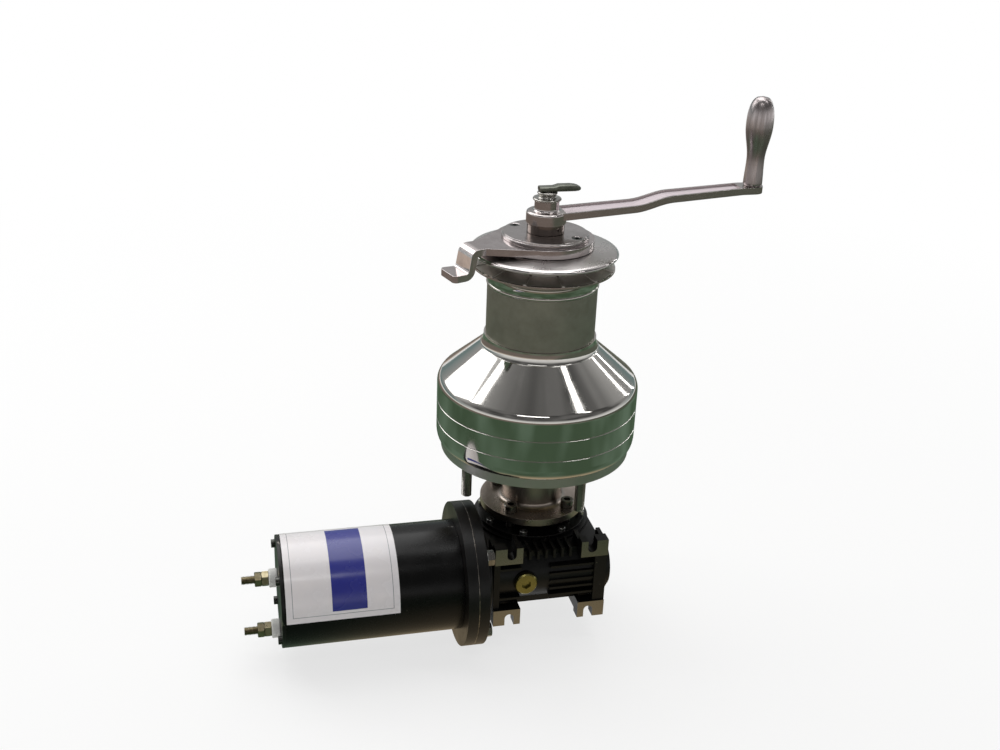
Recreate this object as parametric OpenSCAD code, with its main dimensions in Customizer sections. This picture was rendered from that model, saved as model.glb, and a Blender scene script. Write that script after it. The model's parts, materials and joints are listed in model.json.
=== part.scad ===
// Electric self-tailing sailboat winch: drum and rope jaws above the deck, worm gearmotor below it,
// and a lock-in crank handle in the top socket. Millimetres, +Z up along the drum axis.
// The origin is the centre of the face that seats on the deck. The motor lies towards -X.

/* [Deck base] */
// Radius of the base plate that seats on the deck
base_r = 92.3; // [88:0.1:95]
// Thickness of the base plate at its rim
base_h = 6; // [5:0.5:8]
// Height of the base plate's rim
base_rim_h = 10; // [8:0.1:11.5]
// Height of the base plate's centre boss
boss_h = 9; // [7:0.5:11]
// Bolt circle diameter of the deck studs
stud_pcd = 156; // [150:1:164]
// Diameter of a deck stud
stud_d = 10; // [8:1:12]
// Length of a deck stud below the base plate
stud_len = 37; // [25:1:60]
// Angle of the first deck stud
stud_angle = 20; // [0:1:45]
// Diameter of the jam nut collar on a deck stud
stud_collar_d = 16; // [15:0.5:18]
// Height of the jam nut collar on a deck stud
stud_collar_h = 5; // [3:0.5:8]

/* [Drum] */
// Outer radius of the drum's lower bell
bell_r = 97; // [95:0.5:104]
// Wall of the bell
bell_wall = 3.8; // [3:0.1:5]
// Height of the bell's rounded lower edge
bell_edge_h = 9.5; // [7:0.5:14]
// How far the bell draws in at its lower edge
bell_edge_in = 3; // [2:0.1:3.4]
// Height of the bell up to where its shoulder starts
skirt_h = 58.2; // [54:0.2:62]
// Radius of the bell's shoulder round
shoulder_round = 8; // [6:0.5:10]
// Tilt of the bell's cone from vertical
cone_tilt = 49.4; // [46:0.1:52]
// Radius of the bell at the top of its cone
cone_top_r = 57; // [56:0.2:59]
// Height of the cove between cone and barrel
cove_h = 11.3; // [8:0.1:12]
// How far the cove draws in
cove_in = 3.4; // [2:0.1:4]
// Height of the first decorative groove above the deck
line_z = 30.3; // [26:0.1:36]
// Distance between the two decorative grooves
line_pitch = 20; // [12:0.5:24]
// Width of a decorative groove
line_w = 1; // [0.6:0.1:1.6]
// Depth of a decorative groove
line_depth = 0.7; // [0.4:0.1:1]
// Radius of the rope barrel
barrel_r = 51.9; // [50:0.1:53]
// Height of the rope barrel
barrel_h = 50; // [40:1:70]
// Bore radius of the rope barrel
barrel_bore_r = 44.6; // [44:0.1:45.4]

/* [Rope jaws] */
// Rim radius of the lower jaw
lower_jaw_r = 66.4; // [62:0.2:70]
// Height from the barrel's top to the lower jaw's rim
lower_jaw_h = 19; // [16:0.5:26]
// Rim radius of the upper jaw
upper_jaw_r = 68.9; // [64:0.1:72]
// Thickness of a jaw at its rim
jaw_rim_t = 1.6; // [1.2:0.1:3]
// Radius of the rope groove's floor
groove_floor_r = 50; // [48:0.5:54]
// Width of the rope groove at its floor
groove_floor_w = 4; // [3:0.5:8]
// How much each side of the groove opens towards the rim
groove_slope_h = 4; // [3:0.2:6]
// Rise of the upper jaw's crown above its rim
crown_h = 4.6; // [3:0.2:8]
// Number of gripping ribs on a jaw
rib_count = 12; // [6:1:18]
// Width of a gripping rib
rib_w = 3; // [2:0.5:5]
// Height of a gripping rib
rib_h = 0.9; // [0.5:0.1:1.2]

/* [Feeder arm] */
// Radius of the feeder arm's ring
ring_r = 45.8; // [44:0.2:48]
// Thickness of the feeder arm's ring
ring_h = 8; // [7:0.5:12]
// Direction of the feeder arm
feeder_angle = 196; // [150:1:240]
// Thickness of the feeder arm's strip
feeder_t = 6.5; // [5:0.5:7]
// Width of the feeder arm's strip
feeder_w = 25; // [20:0.5:30]
// Distance from the drum axis to the start of the arm's bend
feeder_bend_s = 75; // [74:0.5:84]
// Slope of the arm's dropping leg
feeder_leg_tilt = 80; // [65:1:85]
// Drop from the ring's top to the lip's top
feeder_drop = 21.3; // [18:0.1:26]
// Length of the level lip
lip_len = 12.5; // [8:0.5:18]
// Width of the level lip
lip_w = 28; // [24:0.5:32]
// Radius of the top cap
cap_r = 40.6; // [38:0.2:43]
// Thickness of the top cap
cap_h = 4.3; // [3.5:0.1:6]
// Radius of the circle of the cap's screws
cap_screw_circle_r = 33; // [28:0.5:34]
// Angle of the cap's first screw
cap_screw_angle = -45; // [-60:1:60]

/* [Spindle and stem] */
// Radius of the fixed stem inside the drum
stem_r = 37.5; // [36:0.1:38]
// Bore radius of the fixed stem
stem_bore_r = 30; // [24:0.5:31]
// Radius of the spindle's head
spindle_head_r = 16; // [15:0.1:16.6]
// Radius of the spindle's shaft
spindle_shaft_r = 12; // [10:0.5:13]
// Radius of the spindle's lower end, which carries the pinion
spindle_foot_r = 18.5; // [17.5:0.1:18.8]
// Radius of the collar on top of the spindle
spindle_collar_r = 17.4; // [17:0.1:19]
// Height of the collar on top of the spindle
spindle_collar_h = 8.9; // [6:0.1:10]
// Width across the flats of one square of the star socket
socket_flat = 17.5; // [17:0.1:18]
// Depth of the star socket down to its relief
socket_lip_h = 31.5; // [26:0.5:34]
// Height of the relief under the socket's lip
socket_relief_h = 8; // [7:0.5:10]

/* [Drum gears] */
// Module of the drum's gear train
gear_module = 2.5; // [2.3:0.05:2.6]
// Teeth of the spindle pinion
pinion_teeth = 22; // [22:1:23]
// Teeth of each idler gear
idler_teeth = 22; // [20:1:22]
// Face width of the gears
gear_w = 15; // [12:0.5:18]
// Radius of an idler's pin
idler_pin_r = 8; // [6:0.5:9]

/* [Crank handle] */
// Distance from the spindle axis to the grip axis
crank_len = 200; // [180:0.2:260]
// Radius of the handle's hub
hub_r = 18.5; // [17:0.1:20]
// Height of the handle's hub
hub_h = 10.6; // [9:0.1:12]
// Radius of the handle's upper boss
handle_boss_r = 11.3; // [10:0.1:12]
// Height of the handle's upper boss
handle_boss_h = 9.5; // [7:0.1:14]
// Thickness of the crank arm
arm_t = 6.5; // [5.5:0.5:9]
// Width of the crank arm at the hub
arm_hub_w = 28; // [24:0.5:32]
// Width of the crank arm at the grip
arm_grip_w = 20; // [18:0.5:24]
// Steady rise of the crank arm along its length
arm_rise = 0.07; // [0:0.01:0.14]
// Where the crank arm's step starts
step_start = 82; // [70:1:100]
// Length of the crank arm's step
step_len = 36; // [25:1:50]
// Height of the crank arm's step
step_h = 5.8; // [2:0.2:10]
// Depth of the channel in the crank arm's top
channel_depth = 2; // [1:0.1:3]
// Width of the rim beside the channel
channel_rim = 2.2; // [1.6:0.1:5]
// Length of the grip
grip_len = 83; // [70:1:110]
// Radius of the grip at its foot
grip_foot_r = 9; // [8.6:0.1:10.4]
// Radius of the grip's waist
grip_waist_r = 8.25; // [7.6:0.05:9]
// Largest radius of the grip
grip_swell_r = 12.5; // [11:0.1:15]
// Radius of the grip's pin
grip_pin_r = 5; // [4:0.1:5.6]
// Length of the lock lever from the axis to its nose
lever_reach = 31; // [24:0.5:36]
// Length of the lock lever behind the axis
lever_tail = 8; // [8:0.5:14]
// Width of the lock lever
lever_w = 11; // [10.5:0.5:16]
// Thickness of the lock lever
lever_h = 6.2; // [4:0.1:9]
// Radius of the lock's shaft
lock_shaft_r = 4.5; // [3.5:0.1:5.5]

/* [Neck] */
// Radius of the neck between base and gearbox
neck_r = 30; // [29.5:0.1:34]
// Length of the neck from the deck face to the gearbox
neck_h = 65.3; // [60:0.1:110]
// Radius of the neck's lower flange
neck_flange_r = 51.7; // [50:0.1:53]
// Thickness of the neck's lower flange at its edge
neck_flange_t = 7; // [5:0.1:9]
// Radius of the cove between the neck and its flange
neck_cove_r = 5.5; // [3:0.5:8]
// Radius of the circle of the neck's screws
neck_screw_circle_r = 41; // [40.6:0.1:41.2]

/* [Gearbox] */
// Module of the worm gear
worm_module = 2.5; // [2.4:0.05:2.55]
// Worm's pitch diameter in modules
worm_q = 10; // [10:0.5:11]
// Teeth of the worm wheel
wheel_teeth = 30; // [29:1:30]
// Face width of the worm wheel
wheel_w = 24; // [20:1:26]
// Radius of the worm wheel's hub journal
wheel_hub_r = 20; // [19:0.5:21]
// Radius of the hollow output bore
output_bore_r = 12.5; // [11:0.5:14]
// Radius of the round wheel case
case_r = 58; // [57:0.5:62]
// Half of the wheel case's height
case_half = 31.1; // [30:0.1:34]
// Half of the length over the two pilot faces
pilot_half = 45.2; // [44:0.1:50]
// Radius of a pilot
pilot_r = 35; // [34:0.5:36]
// Half of the gearbox's length along the worm
box_half_len = 60; // [60:0.5:66]
// Distance from the worm axis to the front foot pads
foot_reach = 34; // [33:0.5:40]
// Distance from the centre to a foot slot, along the worm
slot_x = 40; // [38:0.5:44]
// Width of a foot slot
slot_w = 9; // [7:0.5:11]
// Distance from the centre to the inner end of a foot slot
slot_in_z = 31; // [29:0.5:34]
// Distance from the centre to the end of the foot pads
pad_z = 43.3; // [42:0.1:48]
// Radius of the output cover
cover_r = 54.4; // [54:0.1:56.5]
// Thickness of the output cover
cover_t = 4; // [3.5:0.1:5]
// Radius of the oil plug's head
plug_r = 11.3; // [10:0.1:12.5]

/* [Motor] */
// Radius of the motor flange
motor_flange_r = 70; // [66:0.5:76]
// Thickness of the gearbox's input flange
input_flange_t = 10.3; // [9:0.1:14]
// Thickness of the motor's flange
motor_flange_t = 10.5; // [10:0.1:14]
// Radius of the circle of the flange bolts
flange_bolt_circle_r = 57.5; // [55:0.5:62]
// Radius of the motor's barrel
motor_r = 53.1; // [51:0.1:54]
// Length of the motor's barrel
motor_len = 166.2; // [150:0.1:200]
// Thickness of the motor's end cap
end_cap_t = 3; // [2.5:0.1:6]
// Wall of the motor's barrel
motor_wall = 3.5; // [3:0.1:4]
// Radius of the armature
armature_r = 38; // [34:0.5:38.5]
// Radius of the motor's shaft
motor_shaft_r = 9; // [8.5:0.1:10]
// Radius of a terminal stud
terminal_r = 4; // [3:0.5:5]
// Length of a terminal stud outside the end cap
terminal_len = 33.5; // [30:0.5:40]
// Length of the label along the barrel
label_len = 104; // [60:1:120]
// Distance from the barrel's free end to the label
label_inset = 1; // [0.5:0.5:20]
// Angle that the label covers around the barrel
label_sweep = 119.5; // [60:0.5:150]

/* [Fits] */
// Radial clearance of running shafts
run_gap = 0.05; // [0.02:0.01:0.1]
// Radial clearance of seated pieces
seat_gap = 0.02; // [0.01:0.01:0.05]
// Gap between faces that move past each other
face_gap = 0.3; // [0.2:0.05:0.6]
// Gap between the bell and the base rim
bell_gap = 0.5; // [0.3:0.1:1]
// Gap between the upper jaw and the feeder arm
jaw_gap = 0.6; // [0.4:0.1:1.2]

/* [Hidden] */
$fn = 64;
eps = 0.01;
pressure_angle = 20;
arc_steps = 6;

// Fastener sizes: shank and head radii, head heights and counts
m5_r = 2.5;
m5_head_r = 4.25;
m5_head_h = 5;
m6_r = 3;
m8_r = 4;
m8_head_r = 6.5;
m8_head_h = 8;
hex_key_share = 0.9;
hex_head_r = 7.5;
hex_head_h = 8.2;
bolt_end = 8.5;
flat_head_gap = 0.2;
thread_len = 12;
hole_spare = 1;
end_gap = 0.5;
quarter = 45;
stud_count = 4;
stud_relief = 0.25;
stud_relief_h = 0.6;
stud_shank_r = stud_d / 2 - stud_relief;
neck_screw_count = 4;
cover_screw_count = 8;
jaw_screw_count = 6;
cap_screw_count = 2;
flange_bolt_count = 4;
pole_count = 4;

// Levels along the drum axis
z_bell = base_rim_h + bell_gap;
z_skirt = z_bell + skirt_h;
shoulder_end_r = bell_r - shoulder_round * (1 - cos(cone_tilt));
z_cone = z_skirt + shoulder_round * sin(cone_tilt);
z_cone_top = z_cone + (shoulder_end_r - cone_top_r) / tan(cone_tilt);
z_barrel = z_cone_top + cove_h;
z_jaw = z_barrel + barrel_h;
z_groove = z_jaw + lower_jaw_h;
z_floor = z_groove + groove_slope_h;
z_floor_top = z_floor + groove_floor_w;
z_upper_rim = z_floor_top + groove_slope_h;
z_crown = z_upper_rim + jaw_rim_t + crown_h;
z_ring = z_crown + jaw_gap;
z_cap = z_ring + ring_h;
z_cap_top = z_cap + cap_h;
z_socket = z_cap_top + face_gap + spindle_collar_h;
z_hub = z_socket + face_gap;
z_handle_boss = z_hub + hub_h;
z_lever = z_handle_boss + handle_boss_h + face_gap;

// Drum gear train
ring_teeth = pinion_teeth + 2 * idler_teeth;
idler_circle_r = (pinion_teeth + idler_teeth) * gear_module / 2;
ring_tip_r = ring_teeth * gear_module / 2 - gear_module;
tooth_share = 0.46;
tooth_root = 1.25;
bush_flange_t = 2.7;
gear_z = max(boss_h + bush_flange_t, base_rim_h) + face_gap;
gear_top_z = gear_z + gear_w;
idler_angles = [90, 270];

// Base, stem and drum inside
bell_in_r = bell_r - bell_wall;
spindle_bush_r = spindle_head_r + 4;
foot_bush_r = spindle_foot_r + 2;
boss_r = 34;
leg_r = 9;
leg_gap = 6;
leg_angle = 22;
leg_circle_r = ring_tip_r - leg_r - leg_gap;
leg_angles = [leg_angle, -leg_angle, 180 - leg_angle, 180 + leg_angle];
stem_foot_z = gear_top_z + 4;
stem_foot_t = 8;
stem_flare_h = 20;
stem_web_h = 22;
bell_flange_t = 12;
z_flange = z_barrel - bell_flange_t;
barrel_spigot_r = barrel_bore_r + 4.4;
washer_t = 2;
z_thrust = z_flange - face_gap - washer_t;
thrust_r = barrel_spigot_r + 2;
stem_step_r = barrel_bore_r - 2.6;
drum_bush_h = 14;
bush_inset = 2;
jaw_bore_r = stem_r + 0.8;
jaw_spigot_h = 8;
jaw_spigot_wall = 4;
jaw_foot_h = 3.5;
jaw_foot_r = barrel_r + 0.4;
rib_inset = 3;
jaw_screw_r = 2;
jaw_screw_head_r = 3.4;
jaw_screw_head_h = 4.4;
jaw_screw_circle_r = (jaw_bore_r + ring_r) / 2;
z_jaw_screw = z_crown - jaw_screw_head_h - end_gap;
crown_edge_r = ring_r + 1;
cap_step = 1.4;
cap_bore_gap = 0.4;
base_rim_w = 5;
neck_top_circle_r = neck_r - 4;
neck_bore_r = foot_bush_r - 1;
neck_wide_bore_r = wheel_hub_r + 2;
neck_spot_h = 0.4;
neck_seal_z = -14;
neck_seal_h = 9;
neck_top_seat_z = boss_h - m5_head_h - end_gap;
idler_pin_foot_r = idler_pin_r - 2;
idler_collar_r = idler_pin_r + 4;
bush_flange_r = foot_bush_r + 3.5;
base_screw_len = 26;
feeder_bend_r = 2;
feeder_lip_r = 3;
feeder_lip_round = 4;
feeder_root = 50;
feeder_leg = (feeder_drop - (feeder_bend_r + feeder_t + feeder_lip_r) * (1 - cos(feeder_leg_tilt)))
    / sin(feeder_leg_tilt);
feeder_bend = [feeder_bend_s, z_cap - feeder_bend_r - feeder_t];
feeder_lip = feeder_bend
    + (feeder_bend_r + feeder_t + feeder_lip_r) * [sin(feeder_leg_tilt), cos(feeder_leg_tilt)]
    + feeder_leg * [cos(feeder_leg_tilt), -sin(feeder_leg_tilt)];
feeder_end_s = feeder_lip[0] + lip_len;
clutch_r = spindle_foot_r - 3.5;
clutch_z = 2;
clutch_h = 30;
clutch_room = 36;
foot_neck_h = 12;
foot_top_z = gear_top_z + foot_neck_h;
foot_taper_h = 8;
head_taper_z = 6;
head_taper_h = 6;
drive_top_r = clutch_r - 5;

// Star socket, lock and crank handle
star_clear = 0.1;
spigot_flat = socket_flat - 2 * star_clear;
z_relief_top = z_socket - socket_lip_h;
z_relief = z_relief_top - socket_relief_h;
relief_r = socket_flat / sqrt(2) + 0.4;
lock_plate_gap = 1;
lock_plate_t = socket_relief_h - 2 * lock_plate_gap;
z_plate = z_relief + lock_plate_gap;
arm_end_r = arm_grip_w / 2;
arm_flat_x = crank_len - arm_end_r - 2;
arm_lift = -1.2;
arm_steps = 8;
grip_steps = 40;
channel_hub_gap = -3;
channel_grip_gap = 5;
z_grip_seat = arm_top(crank_len);
grip_waist = 0.29;
grip_swell = 0.68;
dome_power = 2.6;
pin_share = 0.75;
hub_round_r = 2.5;
hub_round_h = 2;
pin_head_r = grip_pin_r + 3;
pin_head_h = 2;
lever_flange_t = 2.2;
lever_flange_r = handle_boss_r + 1.8;
lever_neck_r = handle_boss_r - 3.5;
lever_head_r = handle_boss_r - 2;
lock_end_h = 2;
lever_neck_h = 7.9;
z_lever_bar = z_lever + lever_neck_h;

// Gearbox and motor
worm_r = worm_module * worm_q / 2;
wheel_r = worm_module * wheel_teeth / 2;
worm_y = -(worm_r + wheel_r);
worm_lead = PI * worm_module;
worm_tip_r = worm_r + worm_module;
worm_core_r = worm_r - tooth_root * worm_module;
worm_turns = 6;
worm_steps = 20;
wheel_tip_r = wheel_r + worm_module;
wheel_cavity_r = wheel_tip_r + 3.6;
wheel_twist = wheel_w * worm_lead / (2 * PI * worm_r) / wheel_r * 180 / PI;
web_set = 7.5;
web_r = wheel_r - web_set;
web_inset = 1;
hub_proud = 0.8;
z_box = -(neck_h + pilot_half);
front_y = worm_y - foot_reach;
cover_boss_r = wheel_cavity_r + 2.2;
cover_boss_h = 11;
cover_screw_circle_r = cover_r - 4.4;
cover_screw_head = 4;
cover_thread = 8;
neck_screw_len = neck_flange_t + pilot_half - case_half + cover_boss_h / 2;
wheel_bearing_r = pilot_r - 1;
wheel_bearing_w = 15;
wheel_bearing_z = case_half + cover_t - wheel_bearing_w;
seal_r = pilot_r - 4;
seal_w = 7;
pilot_lip_r = seal_r - 2;
worm_journal_r = 10;
input_journal_r = 12;
worm_bore_r = worm_tip_r + 3;
worm_bearing_r = 21;
worm_bearing_w = 14;
worm_bearing_inset = 2;
worm_thread_end = 3;
key_bore_h = 32;
key_h = 29;
end_disc_t = 3;
end_disc_r = worm_bearing_r + 5;
bulge_wall = 8;
worm_bulge_r = worm_bearing_r + bulge_wall;
lug_in_set = 11;
lug_end_set = 4;
lug_slot_set = 5;
lug_in_x = slot_x - lug_in_set;
lug_out_x = box_half_len - lug_end_set;
lug_in_z = slot_in_z - lug_slot_set;
lug_t = 12;
lug_rib = 4;
fin_t = 2.4;
fin_pitch = 8;
fin_h = 9;
fin_depth = 10;
fin_set = 6;
side_fin_set = 3;
case_step = 2;
wall_set = 16;
column_set = 1.5;
column_w = 12;
rib_levels = [18, -15];
plug_x = -24.2;
plug_z = 1.1;
plug_boss_h = 0.5;
plug_head_h = 4;
plug_thread_h = 8;
plug_thread_r = plug_r - 3;
plug_key_r = 5;
motor_key_r = 7;
input_neck_wall = 15;
input_neck_r = worm_bulge_r + input_neck_wall;
input_bore_r = worm_bearing_r - 3;
flange_spigot_r = 47.5;
flange_spigot_h = 3.5;
input_neck = 7.7;
x_input = -(box_half_len + input_neck);
x_joint = x_input - input_flange_t;
x_motor = x_joint - motor_flange_t;
x_cap = x_motor - motor_len;
x_end = x_cap - end_cap_t;
motor_in_r = motor_r - motor_wall;
front_bearing_r = 17.5;
front_bearing_w = 11;
motor_bearing_inset = 1;
motor_spigot_h = 4.5;
front_journal_r = motor_shaft_r - 1.5;
rear_bearing_r = 14;
rear_bearing_w = 8;
shaft_step = 2;
rear_journal_r = motor_shaft_r - 3;
cap_boss_r = 22;
cap_boss_h = 9;
magnet_sweep = 60;
magnet_air = 1.2;
magnet_over = 2;
armature_gap = 24;
armature_len = 75;
x_armature = x_motor - armature_gap - armature_len;
coil_end_h = 12;
coil_end_r = armature_r - 4;
commutator_r = 16;
commutator_len = 20;
x_commutator = x_cap + cap_boss_h + 5;
x_rear_step = x_cap + rear_bearing_w + shaft_step;
brush_w = 8;
brush_h = 10;
brush_len = 17;
brush_wall = 2;
brush_guide_gap = 4;
brush_level = 9;
brush_plate_t = 4;
brush_plate_r = motor_in_r - 6.6;
through_bolt_circle_r = motor_in_r - 3.6;
through_head_r = 4;
through_head_h = 3.5;
through_thread = 5;
terminal_spots = [[14, 6], [0, -42]];
insulator_r = 9;
insulator_h = 8;
terminal_nut_r = 7.5;
terminal_nut_h = 6.5;
terminal_nut_gap = 0.6;
terminal_wall = 1;
terminal_nut_count = 2;
label_t = 0.3;
label_gap = 0.1;
label_start = 152;

// Points on an elliptic arc around a centre, in the profile plane
function arc(cx, cy, rx, ry, from, to, steps = arc_steps) =
    [for (i = [0:steps]) let (a = from + (to - from) * i / steps) [cx + rx * cos(a), cy + ry * sin(a)]];

// Smooth step from 0 to 1
function ease(t) = let (u = max(0, min(1, t))) u * u * (3 - 2 * u);

// Height of the crank arm's top face
function arm_top(x) =
    z_handle_boss + arm_lift + arm_rise * min(x, arm_flat_x) + step_h * ease((x - step_start) / step_len);

// Half width of the crank arm
function arm_half(x) = (arm_hub_w + (arm_grip_w - arm_hub_w) * x / crank_len) / 2;

// Radius of the grip at a share of its length
function grip_r(t) =
    t < grip_waist ? grip_foot_r + (grip_waist_r - grip_foot_r) * ease(t / grip_waist) :
    t < grip_swell ? grip_waist_r
        + (grip_swell_r - grip_waist_r) * ease((t - grip_waist) / (grip_swell - grip_waist)) :
    grip_swell_r * pow(1 - pow((t - grip_swell) / (1 - grip_swell), dome_power), 1 / dome_power);

// Involute of an angle in degrees
function involute(a) = tan(a) * 180 / PI - a;

// Half of a tooth's angle at a radius
function half_tooth(teeth, m, r, share) =
    let (pitch_r = teeth * m / 2, base = pitch_r * cos(pressure_angle))
    share * 180 / teeth + involute(pressure_angle) - (r > base ? involute(acos(base / r)) : 0);

// Outline of a spur gear with involute flanks; share is the tooth's part of the pitch
module gear_outline(teeth, m, tip_r, root_r, share) {
    steps = 3;
    radii = [for (k = [0:steps]) root_r + (tip_r - root_r) * k / steps];
    sides = concat([for (r = radii) [r, -1]], [for (k = [steps:-1:0]) [radii[k], 1]]);
    polygon([for (i = [0:teeth - 1]) for (s = sides)
        let (a = i * 360 / teeth + s[1] * half_tooth(teeth, m, s[0], share)) s[0] * [cos(a), sin(a)]]);
}

// Turn of an idler that puts a tooth in the pinion's gap, in its direction from the pinion
function idler_turn(dir) = dir + 180 - 360 / idler_teeth * (0.5 - dir * pinion_teeth / 360);

// Turn of the ring gear's spaces that takes the first idler's tooth
ring_turn = idler_angles[0] - idler_teeth / ring_teeth * (idler_angles[0] - idler_turn(idler_angles[0]));

// A tube or disc standing on z
module tube(z, h, r, bore = 0) {
    translate([0, 0, z])
        difference() {
            cylinder(h = h, r = r);
            if (bore > 0)
                translate([0, 0, -eps])
                    cylinder(h = h + 2 * eps, r = bore);
        }
}

// Children copied around the drum axis
module around(count, r, first = 0) {
    for (i = [0:count - 1])
        rotate([0, 0, first + i * 360 / count])
            translate([r, 0, 0])
                children();
}

// Children copied onto the stem's legs
module at_legs() {
    for (a = leg_angles)
        rotate([0, 0, a])
            translate([leg_circle_r, 0, 0])
                children();
}

// Children copied onto the idlers' axes
module at_idlers() {
    for (a = idler_angles)
        rotate([0, 0, a])
            translate([idler_circle_r, 0, 0])
                children();
}

// Socket head screw along -Z, with its head's seat at z = 0
module cap_screw(r, len, head_r, head_h) {
    difference() {
        union() {
            cylinder(h = head_h, r = head_r);
            translate([0, 0, -len])
                cylinder(h = len + eps, r = r);
        }
        translate([0, 0, head_h / 2])
            cylinder(h = head_h, r = r * hex_key_share, $fn = 6);
    }
}

// Countersunk screw along -Z, with its head's top at z = 0
module flat_screw(r, len, head_r) {
    difference() {
        union() {
            translate([0, 0, -(head_r - r)])
                cylinder(h = head_r - r, r1 = r, r2 = head_r);
            translate([0, 0, -len])
                cylinder(h = len - (head_r - r) + eps, r = r);
        }
        translate([0, 0, -r * hex_key_share])
            cylinder(h = r, r = r * hex_key_share, $fn = 6);
    }
}

// Children placed on the worm and motor axis, with local +Z along +X
module on_worm_axis(x = 0) {
    translate([x, worm_y, z_box])
        rotate([0, 90, 0])
            children();
}

// Children placed at the gearbox centre
module in_gearbox() {
    translate([0, 0, z_box])
        children();
}

module base_plate() {
    color("silver")
        difference() {
            union() {
                cylinder(h = base_h, r = base_r);
                tube(0, base_rim_h, base_r, base_r - base_rim_w);
                cylinder(h = boss_h, r = boss_r);
            }
            tube(-eps, boss_h + 2 * eps, foot_bush_r);
            around(stud_count, stud_pcd / 2, stud_angle)
                tube(-eps, base_h + 2 * eps, stud_shank_r + seat_gap);
            around(neck_screw_count, neck_top_circle_r, quarter) {
                tube(-eps, boss_h + 2 * eps, m5_r + seat_gap);
                tube(neck_top_seat_z, m5_head_h + hole_spare, m5_head_r + seat_gap);
            }
            at_legs() {
                tube(-eps, base_h + 2 * eps, m6_r + seat_gap);
                translate([0, 0, -eps])
                    cylinder(h = m6_r + eps, r1 = 2 * m6_r + eps, r2 = m6_r);
            }
            at_idlers()
                tube(-eps, base_h + 2 * eps, idler_pin_foot_r + seat_gap);
        }
}

module deck_studs() {
    color("silver")
        around(stud_count, stud_pcd / 2, stud_angle) {
            tube(-stud_len, stud_len - stud_collar_h - stud_relief_h, stud_d / 2);
            tube(-stud_collar_h - stud_relief_h - eps, base_h + stud_collar_h + stud_relief_h + eps - end_gap,
                stud_shank_r);
        }
}

module stud_collars() {
    color("silver")
        around(stud_count, stud_pcd / 2, stud_angle)
            tube(-stud_collar_h, stud_collar_h, stud_collar_d / 2, stud_shank_r + seat_gap);
}

module center_stem() {
    color("gray")
        difference() {
            union() {
                rotate_extrude()
                    polygon([[stem_bore_r, stem_foot_z], [leg_circle_r + leg_r, stem_foot_z],
                        [leg_circle_r + leg_r, stem_foot_z + stem_foot_t],
                        [barrel_bore_r, stem_foot_z + stem_foot_t + stem_flare_h],
                        [barrel_bore_r, z_thrust - stem_foot_t], [thrust_r, z_thrust - stem_foot_t / 2],
                        [thrust_r, z_thrust], [stem_step_r, z_thrust],
                        [stem_step_r, z_barrel + bush_inset], [stem_r, z_barrel + bush_inset],
                        [stem_r, z_ring], [spindle_bush_r + seat_gap, z_ring],
                        [spindle_bush_r + seat_gap, z_ring - stem_web_h],
                        [stem_bore_r, z_ring - stem_web_h]]);
                at_legs()
                    tube(base_h, stem_foot_z - base_h + eps, leg_r);
            }
            at_legs()
                tube(base_h - eps, base_screw_len - base_h + hole_spare, m6_r + seat_gap);
            at_idlers()
                tube(stem_foot_z - eps, stem_foot_t + stem_flare_h, idler_pin_r + seat_gap);
            around(cap_screw_count, cap_screw_circle_r, cap_screw_angle)
                tube(z_ring - thread_len - hole_spare, thread_len + 2 * hole_spare, m5_r + seat_gap);
        }
}

module base_screws() {
    color("dimgray") {
        at_legs()
            rotate([180, 0, 0])
                flat_screw(m6_r, base_screw_len, 2 * m6_r - flat_head_gap);
        around(neck_screw_count, neck_top_circle_r, quarter)
            translate([0, 0, neck_top_seat_z])
                cap_screw(m5_r, neck_top_seat_z + thread_len, m5_head_r, m5_head_h);
    }
}

module idler_pins() {
    color("darkgray")
        at_idlers() {
            tube(end_gap, base_h, idler_pin_foot_r);
            tube(base_h, stem_foot_z + stem_foot_t - base_h, idler_pin_r);
            tube(base_h, gear_z - face_gap - base_h, idler_collar_r);
        }
}

module thrust_washer() {
    color("ivory")
        tube(z_thrust, washer_t, thrust_r, stem_step_r + seat_gap);
}

module drum_bush(z) {
    color("ivory")
        tube(z, drum_bush_h, barrel_bore_r - run_gap, stem_r + seat_gap);
}

module lower_drum_bush() {
    drum_bush(z_barrel + bush_inset);
}

module upper_drum_bush() {
    drum_bush(z_jaw - jaw_spigot_h - bush_inset - drum_bush_h);
}

module lower_spindle_bush() {
    color("peru") {
        tube(end_gap, boss_h - end_gap, foot_bush_r - seat_gap, spindle_foot_r + run_gap);
        tube(boss_h, bush_flange_t, bush_flange_r, spindle_foot_r + run_gap);
    }
}

module upper_spindle_bush() {
    color("peru")
        tube(z_ring - stem_web_h + bush_inset, stem_web_h - bush_inset + ring_h, spindle_bush_r,
            spindle_head_r + run_gap);
}

// Side outline of the feeder strip: level, rounded bend, sloping leg, rounded bend, level lip
module feeder_side() {
    out_r = feeder_bend_r + feeder_t;
    lip_r = feeder_lip_r + feeder_t;
    tilt = feeder_leg_tilt;
    bend = feeder_bend;
    lip = feeder_lip;
    polygon(concat([[0, z_cap]], arc(bend[0], bend[1], out_r, out_r, 90, 90 - tilt),
        arc(lip[0], lip[1], feeder_lip_r, feeder_lip_r, 270 - tilt, 270),
        [[feeder_end_s, lip[1] - feeder_lip_r], [feeder_end_s, lip[1] - lip_r]],
        arc(lip[0], lip[1], lip_r, lip_r, 270, 270 - tilt),
        arc(bend[0], bend[1], feeder_bend_r, feeder_bend_r, 90 - tilt, 90), [[0, z_cap - feeder_t]]));
}

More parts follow.
